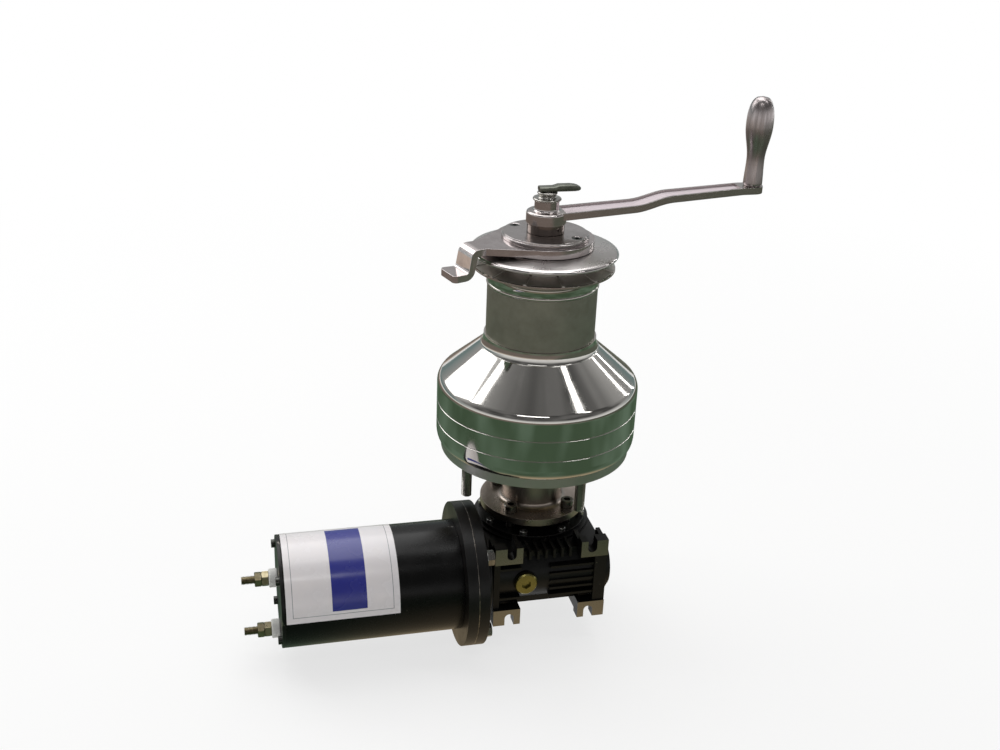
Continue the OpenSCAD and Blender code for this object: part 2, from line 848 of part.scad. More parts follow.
// Plan outline of the feeder strip, tapering from the ring to the bend and widening to the lip
module feeder_plan() {
    half = lip_w / 2;
    near = feeder_bend_s - feeder_t;
    far = feeder_bend_s + feeder_t;
    round = feeder_lip_round;
    tip = concat(arc(feeder_end_s - round, -half + round, round, round, -90, 0),
        arc(feeder_end_s - round, half - round, round, round, 0, 90));
    polygon(concat([ring_r * [cos(feeder_root), -sin(feeder_root)], [near, -feeder_w / 2],
        [far, -feeder_w / 2]], tip, [[far, feeder_w / 2], [near, feeder_w / 2],
        ring_r * [cos(feeder_root), sin(feeder_root)]]));
}

module feeder_arm() {
    color("gainsboro")
        difference() {
            union() {
                tube(z_ring, ring_h, ring_r);
                rotate([0, 0, feeder_angle])
                    intersection() {
                        translate([0, 0, z_cap - feeder_drop - 2 * feeder_t])
                            linear_extrude(height = feeder_drop + 2 * feeder_t)
                                feeder_plan();
                        rotate([90, 0, 0])
                            linear_extrude(height = 2 * ring_r, center = true)
                                feeder_side();
                    }
            }
            tube(z_ring - eps, ring_h + 2 * eps, spindle_bush_r + seat_gap);
            around(cap_screw_count, cap_screw_circle_r, cap_screw_angle)
                tube(z_ring - eps, ring_h + 2 * eps, m5_r + seat_gap);
        }
}

module top_cap() {
    color("gainsboro")
        difference() {
            union() {
                tube(z_cap, cap_h - cap_step, cap_r);
                tube(z_cap, cap_h, cap_r - cap_step);
            }
            tube(z_cap - eps, cap_h + 2 * eps, spindle_head_r + cap_bore_gap);
            around(cap_screw_count, cap_screw_circle_r, cap_screw_angle) {
                tube(z_cap - eps, cap_h + 2 * eps, m5_r + seat_gap);
                translate([0, 0, z_cap_top - m5_r])
                    cylinder(h = m5_r + eps, r1 = m5_r, r2 = 2 * m5_r + eps);
            }
        }
}

module cap_screws() {
    color("silver")
        around(cap_screw_count, cap_screw_circle_r, cap_screw_angle)
            translate([0, 0, z_cap_top])
                flat_screw(m5_r, cap_h + ring_h + thread_len, 2 * m5_r - flat_head_gap);
}

module neck() {
    flange_z = -(neck_h - neck_flange_t);
    color("lightgray")
        difference() {
            rotate_extrude()
                polygon(concat([[neck_bore_r, 0], [neck_r, 0]],
                    arc(neck_r + neck_cove_r, flange_z + neck_cove_r, neck_cove_r, neck_cove_r, 180, 270),
                    [[neck_flange_r, flange_z], [neck_flange_r, -neck_h],
                    [neck_wide_bore_r, -neck_h], [neck_wide_bore_r, -neck_h / 2],
                    [neck_bore_r, -neck_h / 2]]));
            around(neck_screw_count, neck_top_circle_r, quarter)
                tube(-thread_len - hole_spare, thread_len + 2 * hole_spare, m5_r + seat_gap);
            around(neck_screw_count, neck_screw_circle_r, quarter) {
                tube(-neck_h - eps, neck_h, m8_r + seat_gap);
                tube(flange_z - neck_spot_h, neck_h, m8_head_r + end_gap);
            }
        }
}

module neck_screws() {
    color("darkslategray")
        around(neck_screw_count, neck_screw_circle_r, quarter)
            translate([0, 0, neck_flange_t - neck_spot_h - neck_h])
                cap_screw(m8_r, neck_screw_len, m8_head_r, m8_head_h);
}

// One foot pad with its open slot, on a plate that two ribs tie to the housing
module foot_lug(sx, sz) {
    mirror([sx < 0 ? 1 : 0, 0, 0])
        mirror([0, 0, sz < 0 ? 1 : 0])
            difference() {
                union() {
                    translate([lug_in_x, front_y, lug_in_z])
                        cube([lug_out_x - lug_in_x, lug_t, pad_z - lug_in_z]);
                    for (x = [lug_in_x, lug_out_x - lug_rib])
                        translate([x, front_y, lug_in_z])
                            cube([lug_rib, foot_reach - lug_rib, pad_z - lug_in_z - lug_rib]);
                }
                translate([slot_x, front_y - eps, slot_in_z + slot_w / 2])
                    rotate([-90, 0, 0])
                        cylinder(h = foot_reach, r = slot_w / 2);
                translate([slot_x - slot_w / 2, front_y - eps, slot_in_z + slot_w / 2])
                    cube([slot_w, foot_reach, pad_z]);
            }
}

// Upright fins on the worm case's top, level fins beside the plug, and the columns between the pads
module housing_fins() {
    for (i = [-2:3])
        translate([(i - 0.5) * fin_pitch - fin_t / 2, front_y + fin_set, case_half - fin_set])
            cube([fin_t, foot_reach - 2 * fin_set, fin_h]);
    for (i = [-2:2])
        translate([0, front_y + side_fin_set, i * fin_pitch - fin_t / 2])
            cube([lug_out_x - column_w + eps, fin_depth, fin_t]);
    for (z = rib_levels)
        translate([-lug_out_x, front_y + side_fin_set, z - fin_t / 2])
            cube([lug_out_x - lug_in_x, fin_depth, fin_t]);
    translate([lug_out_x - column_w, front_y + column_set, -lug_in_z - eps])
        cube([column_w, wall_set, 2 * lug_in_z + 2 * eps]);
    translate([-lug_out_x, front_y + side_fin_set, -lug_in_z - eps])
        cube([column_w / 2, wall_set, 2 * lug_in_z + 2 * eps]);
}

module gear_housing() {
    wall_y = front_y + wall_set;
    bearing_seat = worm_bearing_w + worm_bearing_inset;
    color("#202124")
        in_gearbox()
            difference() {
                union() {
                    difference() {
                        tube(-case_half, 2 * case_half, case_r);
                        for (s = [-1, 1])
                            translate([s * (box_half_len + input_neck / 2), worm_y, 0])
                                rotate([0, 90, 0])
                                    cylinder(h = input_neck, r = input_neck_r + seat_gap, center = true);
                    }
                    translate([-lug_out_x, wall_y, case_step - case_half])
                        cube([2 * lug_out_x, -wall_y, 2 * (case_half - case_step)]);
                    translate([-box_half_len, worm_y, 0])
                        rotate([0, 90, 0])
                            cylinder(h = 2 * box_half_len, r = worm_bulge_r);
                    tube(-pilot_half, pilot_half - case_half + eps, pilot_r);
                    for (sx = [-1, 1])
                        for (sz = [-1, 1])
                            foot_lug(sx, sz);
                    housing_fins();
                    at_plug()
                        translate([0, 0, -plug_thread_h])
                            cylinder(h = plug_thread_h, r = plug_r + plug_boss_h);
                }
                tube(-wheel_bearing_z - eps, case_half + wheel_bearing_z + hole_spare, wheel_cavity_r);
                tube(case_half - cover_boss_h, cover_boss_h + hole_spare, cover_boss_r + seat_gap);
                tube(-wheel_bearing_z - wheel_bearing_w, wheel_bearing_w, wheel_bearing_r + seat_gap);
                tube(-pilot_half - eps, pilot_half, pilot_lip_r);
                tube(-pilot_half - eps, seal_w + eps, seal_r + seat_gap);
                translate([-box_half_len - eps, worm_y, 0])
                    rotate([0, 90, 0]) {
                        cylinder(h = 2 * box_half_len + 2 * eps, r = worm_bore_r);
                        cylinder(h = bearing_seat + 2 * eps, r = worm_bearing_r + seat_gap);
                        translate([0, 0, 2 * box_half_len - bearing_seat])
                            cylinder(h = bearing_seat + hole_spare, r = worm_bearing_r + seat_gap);
                    }
                around(cover_screw_count, cover_screw_circle_r, quarter / 2)
                    tube(case_half - cover_thread - hole_spare, cover_thread + 2 * hole_spare,
                        m5_r + seat_gap);
                at_plug()
                    translate([0, 0, -plug_thread_h - hole_spare])
                        cylinder(h = plug_thread_h + foot_reach, r = plug_thread_r + seat_gap);
            }
}

// Children placed at the oil plug's seat, with local +Z pointing out
module at_plug() {
    translate([plug_x, worm_y - worm_bulge_r - plug_boss_h, plug_z])
        rotate([90, 0, 0])
            children();
}

module output_cover() {
    color("#17181a")
        in_gearbox()
            difference() {
                union() {
                    tube(case_half, cover_t, cover_r);
                    tube(case_half - cover_boss_h, cover_boss_h + eps, cover_boss_r);
                    tube(case_half, pilot_half - case_half, pilot_r);
                }
                tube(0, wheel_bearing_z + wheel_bearing_w, wheel_bearing_r + seat_gap);
                tube(0, pilot_half + eps, pilot_lip_r);
                tube(pilot_half - seal_w, seal_w + eps, seal_r + seat_gap);
                around(neck_screw_count, neck_screw_circle_r, quarter)
                    tube(case_half - cover_boss_h / 2 - hole_spare, cover_boss_h, m8_r + seat_gap);
                around(cover_screw_count, cover_screw_circle_r, quarter / 2)
                    tube(case_half - eps, cover_t + 2 * eps, m5_r + seat_gap);
            }
}

module cover_screws() {
    color("silver")
        in_gearbox()
            around(cover_screw_count, cover_screw_circle_r, quarter / 2)
                translate([0, 0, case_half + cover_t])
                    cap_screw(m5_r, cover_t + cover_thread, cover_screw_head, cover_screw_head);
}

module oil_plug() {
    color("goldenrod")
        in_gearbox()
            at_plug()
                difference() {
                    union() {
                        cylinder(h = plug_head_h, r = plug_r);
                        translate([0, 0, -plug_thread_h])
                            cylinder(h = plug_thread_h + eps, r = plug_thread_r);
                    }
                    translate([0, 0, plug_head_h / 3])
                        cylinder(h = plug_head_h, r = plug_key_r, $fn = 6);
                }
}

module wheel_bearings() {
    color("lightsteelblue")
        in_gearbox()
            for (s = [0, 1])
                mirror([0, 0, s])
                    tube(wheel_bearing_z, wheel_bearing_w, wheel_bearing_r, wheel_hub_r + run_gap);
}

module shaft_seals() {
    color("saddlebrown") {
        in_gearbox()
            for (s = [0, 1])
                mirror([0, 0, s])
                    tube(pilot_half - seal_w, seal_w, seal_r, wheel_hub_r + run_gap);
        tube(neck_seal_z, neck_seal_h, neck_bore_r - seat_gap, drive_top_r + run_gap);
    }
}

module rotor_bearings() {
    color("lightsteelblue") {
        on_worm_axis(-box_half_len + worm_bearing_inset)
            tube(0, worm_bearing_w, worm_bearing_r, input_journal_r + run_gap);
        on_worm_axis(box_half_len - worm_bearing_inset - worm_bearing_w)
            tube(0, worm_bearing_w, worm_bearing_r, worm_journal_r + run_gap);
        on_worm_axis(x_motor + motor_bearing_inset)
            tube(0, front_bearing_w, front_bearing_r, front_journal_r + run_gap);
        on_worm_axis(x_cap + motor_bearing_inset)
            tube(0, rear_bearing_w, rear_bearing_r, rear_journal_r + run_gap);
    }
}

module worm_end_cap() {
    color("#202124")
        on_worm_axis(box_half_len)
            difference() {
                tube(0, end_disc_t, end_disc_r);
                tube(-eps, hole_spare, worm_journal_r + hole_spare);
            }
}

module input_flange() {
    color("#202124")
        on_worm_axis(x_joint)
            difference() {
                union() {
                    tube(0, input_flange_t, motor_flange_r);
                    tube(0, input_flange_t + input_neck, input_neck_r);
                }
                tube(-eps, input_flange_t + input_neck + hole_spare, input_bore_r);
                tube(-eps, flange_spigot_h + end_gap, flange_spigot_r + seat_gap);
                around(flange_bolt_count, flange_bolt_circle_r, quarter)
                    tube(-eps, input_flange_t + hole_spare, m8_r + seat_gap);
            }
}

module flange_bolts() {
    color("dimgray")
        on_worm_axis(x_input)
            around(flange_bolt_count, flange_bolt_circle_r, quarter) {
                cylinder(h = hex_head_h, r = hex_head_r, $fn = 6);
                translate([0, 0, end_gap + motor_bearing_inset - input_flange_t - motor_flange_t])
                    cylinder(h = input_flange_t + motor_flange_t + bolt_end, r = m8_r);
            }
}

module motor_flange() {
    color("#202124")
        on_worm_axis(x_motor)
            difference() {
                union() {
                    tube(0, motor_flange_t, motor_flange_r);
                    tube(0, motor_flange_t + flange_spigot_h, flange_spigot_r);
                    tube(-motor_spigot_h, motor_spigot_h + eps, motor_in_r - seat_gap);
                }
                tube(-motor_spigot_h - eps, motor_spigot_h + motor_flange_t, front_journal_r + hole_spare);
                tube(motor_bearing_inset, motor_flange_t + flange_spigot_h, front_bearing_r + seat_gap);
                around(flange_bolt_count, flange_bolt_circle_r, quarter)
                    tube(motor_bearing_inset, motor_flange_t, m8_r + seat_gap);
                around(pole_count, through_bolt_circle_r, quarter)
                    tube(-motor_spigot_h - eps, motor_spigot_h + through_thread + hole_spare,
                        m5_r + seat_gap);
            }
}

module motor_shell() {
    color("#202124")
        on_worm_axis(x_cap)
            tube(0, motor_len, motor_r, motor_in_r);
}

module motor_end_cap() {
    color("#202124")
        on_worm_axis(x_end)
            difference() {
                union() {
                    tube(0, end_cap_t, motor_r);
                    tube(0, end_cap_t + cap_boss_h, cap_boss_r);
                }
                tube(end_cap_t + motor_bearing_inset, cap_boss_h, rear_bearing_r + seat_gap);
                around(pole_count, through_bolt_circle_r, quarter)
                    tube(-eps, end_cap_t + hole_spare, m5_r + seat_gap);
                for (t = terminal_spots)
                    translate([-t[1], t[0], -eps])
                        cylinder(h = end_cap_t - terminal_wall, r = terminal_r + seat_gap);
            }
}

module field_magnets() {
    color("darkslategray")
        on_worm_axis(x_armature - magnet_over)
            for (i = [0:pole_count - 1])
                rotate([0, 0, i * 360 / pole_count - magnet_sweep / 2])
                    rotate_extrude(angle = magnet_sweep)
                        translate([armature_r + magnet_air, 0])
                            square([motor_in_r - seat_gap - armature_r - magnet_air,
                                armature_len + 2 * magnet_over]);
}

module brush_ring() {
    color("tan")
        on_worm_axis(x_cap + cap_boss_h - brush_plate_t)
            difference() {
                union() {
                    tube(0, brush_plate_t, brush_plate_r);
                    around(pole_count, commutator_r + brush_guide_gap)
                        translate([0, -brush_w / 2 - brush_wall, 0])
                            cube([brush_len, brush_w + 2 * brush_wall, brush_plate_t + commutator_len]);
                }
                tube(-eps, brush_plate_t + 2 * eps, cap_boss_r + seat_gap);
                around(pole_count, commutator_r)
                    translate([0, -brush_w / 2 - seat_gap, brush_plate_t + brush_level])
                        cube([2 * brush_len, brush_w + 2 * seat_gap, brush_h + 2 * seat_gap]);
            }
}

module carbon_brushes() {
    color("#303030")
        on_worm_axis(x_cap + cap_boss_h - brush_plate_t)
            around(pole_count, commutator_r + face_gap)
                translate([0, -brush_w / 2, brush_plate_t + brush_level + seat_gap])
                    cube([brush_len, brush_w, brush_h]);
}

module motor_through_bolts() {
    color("silver")
        on_worm_axis(x_end)
            around(pole_count, through_bolt_circle_r, quarter)
                rotate([180, 0, 0])
                    cap_screw(m5_r, end_cap_t + motor_len + through_thread, through_head_r, through_head_h);
}

module terminal_insulators() {
    color("white")
        on_worm_axis(x_end - insulator_h)
            for (t = terminal_spots)
                translate([-t[1], t[0], 0])
                    tube(0, insulator_h, insulator_r, terminal_r + seat_gap);
}

module terminal_studs() {
    color("darkkhaki")
        on_worm_axis(x_end - terminal_len)
            for (t = terminal_spots)
                translate([-t[1], t[0], 0])
                    cylinder(h = terminal_len + end_cap_t - terminal_wall - end_gap, r = terminal_r);
}

module terminal_nuts() {
    color("darkkhaki")
        on_worm_axis(x_end - insulator_h)
            for (t = terminal_spots)
                for (i = [1:terminal_nut_count])
                    translate([-t[1], t[0], -i * (terminal_nut_h + terminal_nut_gap)])
                        difference() {
                            cylinder(h = terminal_nut_h, r = terminal_nut_r, $fn = 6);
                            tube(-eps, terminal_nut_h + 2 * eps, terminal_r + seat_gap);
                        }
}

module motor_label() {
    color("white")
        on_worm_axis(x_cap + label_inset)
            rotate([0, 0, label_start])
                rotate_extrude(angle = label_sweep)
                    translate([motor_r + label_gap, 0])
                        square([label_t, label_len]);
}

module drum_bell() {
    inner_round = shoulder_round - bell_wall;
    inner_cone_r = max(barrel_spigot_r + 1,
        cone_top_r + (z_cone_top - z_flange) * tan(cone_tilt) - bell_wall / cos(cone_tilt));
    color("lightsteelblue")
        difference() {
            rotate_extrude($fn = 128)
                polygon(concat(
                    arc(bell_r - bell_edge_in, z_bell + bell_edge_h, bell_edge_in, bell_edge_h, -90, 0),
                    arc(bell_r - shoulder_round, z_skirt, shoulder_round, shoulder_round, 0, cone_tilt),
                    arc(cone_top_r, z_barrel, -cove_in, -cove_h, 90, 0),
                    [[barrel_spigot_r + seat_gap, z_barrel], [barrel_spigot_r + seat_gap, z_flange],
                    [inner_cone_r, z_flange]],
                    arc(bell_r - shoulder_round, z_skirt, inner_round, inner_round, cone_tilt, 0),
                    [[bell_in_r, z_bell]]));
            for (i = [0, 1])
                rotate_extrude($fn = 128)
                    translate([bell_r - line_depth, line_z + i * line_pitch - line_w / 2])
                        square([2 * line_depth, line_w]);
        }
}

module drum_barrel() {
    color("darkkhaki") {
        tube(z_barrel, barrel_h, barrel_r, barrel_bore_r);
        tube(z_flange, bell_flange_t, barrel_spigot_r, barrel_bore_r);
    }
}

// Radial ribs on a jaw's groove face; dir is 1 for a face that looks up and -1 for one that looks down
module jaw_ribs(rim_r, rim_z, dir) {
    slope = groove_slope_h / (rim_r - groove_floor_r);
    in_r = groove_floor_r + rib_inset;
    out_r = rim_r - rib_h;
    in_z = rim_z + dir * slope * (rim_r - in_r);
    out_z = rim_z + dir * slope * (rim_r - out_r);
    for (i = [0:rib_count - 1])
        rotate([90, 0, i * 360 / rib_count])
            linear_extrude(height = rib_w, center = true)
                polygon([[in_r, in_z - dir * rib_h], [out_r, out_z - dir * rib_h],
                    [out_r, out_z + dir * rib_h], [in_r, in_z + dir * rib_h]]);
}

module lower_jaw() {
    color("lightsteelblue")
        difference() {
            union() {
                rotate_extrude($fn = 128)
                    polygon(concat(
                        [[barrel_bore_r - jaw_spigot_wall, z_jaw - jaw_spigot_h],
                        [barrel_bore_r - seat_gap, z_jaw - jaw_spigot_h], [barrel_bore_r - seat_gap, z_jaw],
                        [jaw_foot_r, z_jaw]],
                        arc(lower_jaw_r, z_jaw + jaw_foot_h, -(lower_jaw_r - jaw_foot_r),
                            lower_jaw_h - jaw_foot_h - jaw_rim_t, 0, 90),
                        [[lower_jaw_r, z_groove], [groove_floor_r, z_floor], [jaw_bore_r, z_floor],
                        [jaw_bore_r, z_jaw]]));
                jaw_ribs(lower_jaw_r, z_groove, 1);
            }
            around(jaw_screw_count, jaw_screw_circle_r)
                tube(z_jaw + jaw_foot_h, z_floor, jaw_screw_r + seat_gap);
        }
}

module upper_jaw() {
    color("lightsteelblue")
        difference() {
            union() {
                rotate_extrude($fn = 128)
                    polygon([[jaw_bore_r, z_floor], [groove_floor_r, z_floor], [groove_floor_r, z_floor_top],
                        [upper_jaw_r, z_upper_rim], [upper_jaw_r, z_upper_rim + jaw_rim_t],
                        [crown_edge_r, z_crown], [jaw_bore_r, z_crown]]);
                jaw_ribs(upper_jaw_r, z_upper_rim, -1);
            }
            around(jaw_screw_count, jaw_screw_circle_r) {
                tube(z_floor - eps, z_crown, jaw_screw_r + seat_gap);
                tube(z_jaw_screw, jaw_screw_head_h + hole_spare, jaw_screw_head_r + seat_gap);
            }
        }
}

module jaw_screws() {
    color("silver")
        around(jaw_screw_count, jaw_screw_circle_r)
            translate([0, 0, z_jaw_screw])
                cap_screw(jaw_screw_r, z_jaw_screw - z_jaw - jaw_foot_h - hole_spare, jaw_screw_head_r,
                    jaw_screw_head_h);
}

module ring_gear() {
    root_r = ring_teeth * gear_module / 2 + tooth_root * gear_module;
    color("slategray")
        translate([0, 0, gear_z])
            difference() {
                cylinder(h = gear_w, r = bell_in_r - seat_gap);
                translate([0, 0, -eps])
                    rotate([0, 0, ring_turn])
                        linear_extrude(height = gear_w + 2 * eps)
                            gear_outline(ring_teeth, gear_module, root_r, ring_tip_r, 1 - tooth_share);
            }
}

// Spur gear of the drum's train with a round bore
module train_gear(teeth, bore, turn) {
    pitch_r = teeth * gear_module / 2;
    translate([0, 0, gear_z])
        difference() {
            rotate([0, 0, turn])
                linear_extrude(height = gear_w)
                    gear_outline(teeth, gear_module, pitch_r + gear_module,
                        pitch_r - tooth_root * gear_module, tooth_share);
            tube(-eps, gear_w + 2 * eps, bore);
        }
}

module spindle_pinion() {
    color("slategray")
        train_gear(pinion_teeth, spindle_foot_r + seat_gap, 0);
}

module idler_gear(dir) {
    color("slategray")
        rotate([0, 0, dir])
            translate([idler_circle_r, 0, 0])
                train_gear(idler_teeth, idler_pin_r + run_gap, idler_turn(dir) - dir);
}

module left_idler_gear() {
    idler_gear(idler_angles[0]);
}

module right_idler_gear() {
    idler_gear(idler_angles[1]);
}

// Square prism of the star socket
module socket_square(z, h, flat, turn) {
    rotate([0, 0, turn])
        translate([-flat / 2, -flat / 2, z])
            cube([flat, flat, h]);
}

module spindle() {
    head_z = z_relief - head_taper_z;
    color("silver")
        difference() {
            rotate_extrude()
                polygon([[0, clutch_room], [clutch_r, clutch_room], [clutch_r, end_gap],
                    [spindle_foot_r, end_gap], [spindle_foot_r, foot_top_z],
                    [spindle_shaft_r, foot_top_z + foot_taper_h], [spindle_shaft_r, head_z - head_taper_h],
                    [spindle_head_r, head_z], [spindle_head_r, z_cap_top + face_gap],
                    [spindle_collar_r, z_cap_top + face_gap], [spindle_collar_r, z_socket], [0, z_socket]]);
            for (turn = [0, quarter])
                socket_square(z_relief, z_socket, socket_flat, turn);
            tube(z_relief, socket_relief_h, relief_r);
        }
}

module one_way_clutch() {
    color("darkgray")
        tube(clutch_z, clutch_h, clutch_r - seat_gap, drive_top_r + run_gap);
}

module wheel_hub() {
    color("dimgray")
        in_gearbox()
            difference() {
                union() {
                    tube(-pilot_half - hub_proud, 2 * (pilot_half + hub_proud), wheel_hub_r);
                    tube(web_inset - wheel_w / 2, wheel_w - 2 * web_inset, web_r);
                }
                tube(-pilot_half - hole_spare, 2 * (pilot_half + hole_spare), output_bore_r);
            }
}

module wheel_rim() {
    color("darkgoldenrod")
        in_gearbox()
            difference() {
                translate([0, 0, -wheel_w / 2])
                    rotate([0, 0, -wheel_twist / 2])
                        linear_extrude(height = wheel_w, twist = -wheel_twist, slices = 4)
                            gear_outline(wheel_teeth, worm_module, wheel_tip_r,
                                wheel_r - tooth_root * worm_module, tooth_share);
                tube(-wheel_w, 2 * wheel_w, web_r + seat_gap);
            }
}

module drive_shaft() {
    color("darkgray") {
        tube(z_box - pilot_half, 2 * (pilot_half + clutch_z), output_bore_r - seat_gap);
        tube(z_box, clutch_h + 2 * clutch_z - z_box, drive_top_r);
    }
}

// Worm thread as one helical ridge around the local z axis
module worm_thread() {
    embed = 0.6;
    crest = worm_lead * tooth_share / 2 - worm_module * tan(pressure_angle);
    foot = worm_lead * tooth_share / 2 + (tooth_root * worm_module + embed) * tan(pressure_angle);
    count = worm_turns * worm_steps;
    profile = [[worm_core_r - embed, -foot], [worm_tip_r, -crest], [worm_tip_r, crest],
        [worm_core_r - embed, foot]];
    points = [for (i = [0:count]) for (p = profile)
        let (a = (i / worm_steps - worm_turns / 2) * 360)
            [p[0] * cos(a), p[0] * sin(a), p[1] + a / 360 * worm_lead]];
    sides = [for (i = [0:count - 1]) for (k = [0:3]) let (n = (k + 1) % 4)
        each [[4 * i + k, 4 * i + n, 4 * i + 4 + k], [4 * i + n, 4 * i + 4 + n, 4 * i + 4 + k]]];
    ends = [[0, 2, 1], [0, 3, 2], [4 * count, 4 * count + 1, 4 * count + 2],
        [4 * count, 4 * count + 2, 4 * count + 3]];
    polyhedron(points, concat(sides, ends));
}

module worm_shaft() {
    thread_half = worm_lead * worm_turns / 2 + worm_thread_end;
    color("lightslategray")
        on_worm_axis()
            difference() {
                union() {
                    tube(-thread_half, 2 * thread_half, worm_core_r);
                    rotate([0, 0, 90])
                        worm_thread();
                    tube(-box_half_len, box_half_len - thread_half + eps, input_journal_r);
                    tube(thread_half - eps, box_half_len - thread_half - end_gap, worm_journal_r);
                }
                tube(-box_half_len - eps, key_bore_h, motor_key_r + seat_gap);
            }
}

module armature() {
    color("indianred")
        on_worm_axis(x_armature) {
            tube(0, armature_len, armature_r);
            tube(-coil_end_h, armature_len + 2 * coil_end_h, coil_end_r);
            tube(x_cap + motor_bearing_inset + end_gap - x_armature, motor_len, rear_journal_r);
            tube(x_rear_step - x_armature, x_motor - motor_spigot_h - shaft_step - x_rear_step, motor_shaft_r);
            tube(0, x_motor + motor_bearing_inset + front_bearing_w + shaft_step - x_armature,
                front_journal_r);
            tube(0, key_h - box_half_len - x_armature, motor_key_r);
        }
}

module commutator() {
    color("darkorange")
        on_worm_axis(x_commutator)
            tube(0, commutator_len, commutator_r, motor_shaft_r + seat_gap);
}

// Side outline of the crank arm, or of its channel
module arm_side(from, to, drop, over) {
    bends = concat([from], [for (i = [0:arm_steps]) step_start + step_len * i / arm_steps],
        [min(arm_flat_x, to)], to > arm_flat_x ? [to] : []);
    polygon(concat([for (x = bends) [x, arm_top(x) + over]],
        [for (i = [len(bends) - 1:-1:0]) [bends[i], arm_top(bends[i]) - drop]]));
}

module crank_arm() {
    reach = crank_len + arm_end_r;
    channel_from = hub_r + channel_hub_gap;
    channel_to = crank_len - arm_end_r - channel_grip_gap;
    color("gainsboro")
        difference() {
            union() {
                rotate_extrude()
                    polygon(concat([[0, z_hub], [hub_r, z_hub]],
                        arc(hub_r - hub_round_r, z_handle_boss - hub_round_h, hub_round_r, hub_round_h,
                            0, 90),
                        arc(handle_boss_r + hub_round_r, z_handle_boss + hub_round_r, hub_round_r,
                            hub_round_r, 270, 180),
                        [[handle_boss_r, z_handle_boss + handle_boss_h],
                        [0, z_handle_boss + handle_boss_h]]));
                intersection() {
                    rotate([90, 0, 0])
                        linear_extrude(height = 2 * arm_hub_w, center = true)
                            arm_side(0, reach, arm_t, 0);
                    translate([0, 0, z_hub])
                        linear_extrude(height = z_grip_seat)
                            polygon(concat([[0, -arm_half(0)], [crank_len, -arm_half(crank_len)]],
                                arc(crank_len, 0, arm_end_r, arm_end_r, -90, 90, 2 * arc_steps),
                                [[0, arm_half(0)]]));
                }
            }
            intersection() {
                rotate([90, 0, 0])
                    linear_extrude(height = 2 * arm_hub_w, center = true)
                        arm_side(channel_from, channel_to, channel_depth, arm_t);
                translate([0, 0, z_hub])
                    linear_extrude(height = z_grip_seat)
                        polygon([[channel_from, -arm_half(channel_from) + channel_rim],
                            [channel_to, -arm_half(channel_to) + channel_rim],
                            [channel_to, arm_half(channel_to) - channel_rim],
                            [channel_from, arm_half(channel_from) - channel_rim]]);
            }
            tube(z_hub - eps, z_lever, lock_shaft_r + run_gap);
            translate([crank_len, 0, 0]) {
                tube(z_grip_seat - arm_t - hole_spare, arm_t + 2 * hole_spare, grip_pin_r + seat_gap);
                tube(z_grip_seat - arm_t - hole_spare, pin_head_h + hole_spare, pin_head_r + seat_gap);
            }
        }
}

module drive_square() {
    color("silver")
        difference() {
            socket_square(z_relief_top + star_clear, z_hub - z_relief_top - star_clear, spigot_flat, 0);
            tube(z_relief, z_hub, lock_shaft_r + run_gap);
        }
}

module grip_pin() {
    color("silver")
        translate([crank_len, 0, 0]) {
            tube(z_grip_seat - arm_t, arm_t + pin_share * grip_len, grip_pin_r);
            tube(z_grip_seat - arm_t, pin_head_h, pin_head_r);
        }
}

module crank_grip() {
    color("silver")
        translate([crank_len, 0, z_grip_seat + face_gap])
            difference() {
                rotate_extrude()
                    polygon(concat([[0, 0]], [for (i = [0:grip_steps])
                        [grip_r(i / grip_steps), grip_len * i / grip_steps]]));
                tube(-eps, pin_share * grip_len + end_gap, grip_pin_r + run_gap);
            }
}

module lock_lever() {
    color("#4a4d48")
        difference() {
            union() {
                tube(z_lever, lever_flange_t, lever_flange_r);
                translate([0, 0, z_lever])
                    cylinder(h = lever_neck_h + eps, r1 = lever_neck_r, r2 = lever_head_r);
                translate([0, 0, z_lever_bar])
                    linear_extrude(height = lever_h)
                        polygon(concat([[-lever_tail, -lever_w / 2]],
                            arc(lever_reach - lever_w / 2, 0, lever_w / 2, lever_w / 2, -90, 90,
                                2 * arc_steps),
                            [[-lever_tail, lever_w / 2]]));
            }
            tube(z_lever - eps, lever_neck_h + lock_end_h + hole_spare, lock_shaft_r + seat_gap);
        }
}

module lock_bolt() {
    color("silver") {
        tube(z_plate, z_lever_bar + lock_end_h - z_plate, lock_shaft_r);
        socket_square(z_plate, lock_plate_t, spigot_flat, 0);
    }
}

base_plate();
deck_studs();
stud_collars();
center_stem();
base_screws();
idler_pins();
thrust_washer();
lower_drum_bush();
upper_drum_bush();
lower_spindle_bush();
upper_spindle_bush();
feeder_arm();
top_cap();
cap_screws();
neck();
neck_screws();
gear_housing();
output_cover();
cover_screws();
oil_plug();
wheel_bearings();
shaft_seals();
rotor_bearings();
worm_end_cap();
input_flange();
flange_bolts();
motor_flange();
motor_shell();
motor_end_cap();
field_magnets();
brush_ring();
carbon_brushes();
motor_through_bolts();
terminal_insulators();
terminal_studs();
terminal_nuts();
motor_label();
drum_bell();
drum_barrel();
lower_jaw();
upper_jaw();
jaw_screws();
ring_gear();
spindle();
spindle_pinion();
one_way_clutch();
left_idler_gear();
right_idler_gear();
wheel_hub();
wheel_rim();
drive_shaft();
worm_shaft();
armature();
commutator();
crank_arm();
drive_square();
grip_pin();
crank_grip();
lock_lever();
lock_bolt();
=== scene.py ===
"""Electric sailboat winch in a plain studio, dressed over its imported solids.

All sizes are millimetres in the part's own frame: +Z is the drum's axis, the origin is the middle of the
deck face, the motor points to -X and the gearbox's feet face -Y.
"""
from __future__ import annotations

import json
import logging
import math
from dataclasses import dataclass
from enum import Enum
from functools import partial
from typing import Any, Callable, Iterable

import bmesh
import bpy
from mathutils import Matrix, Vector

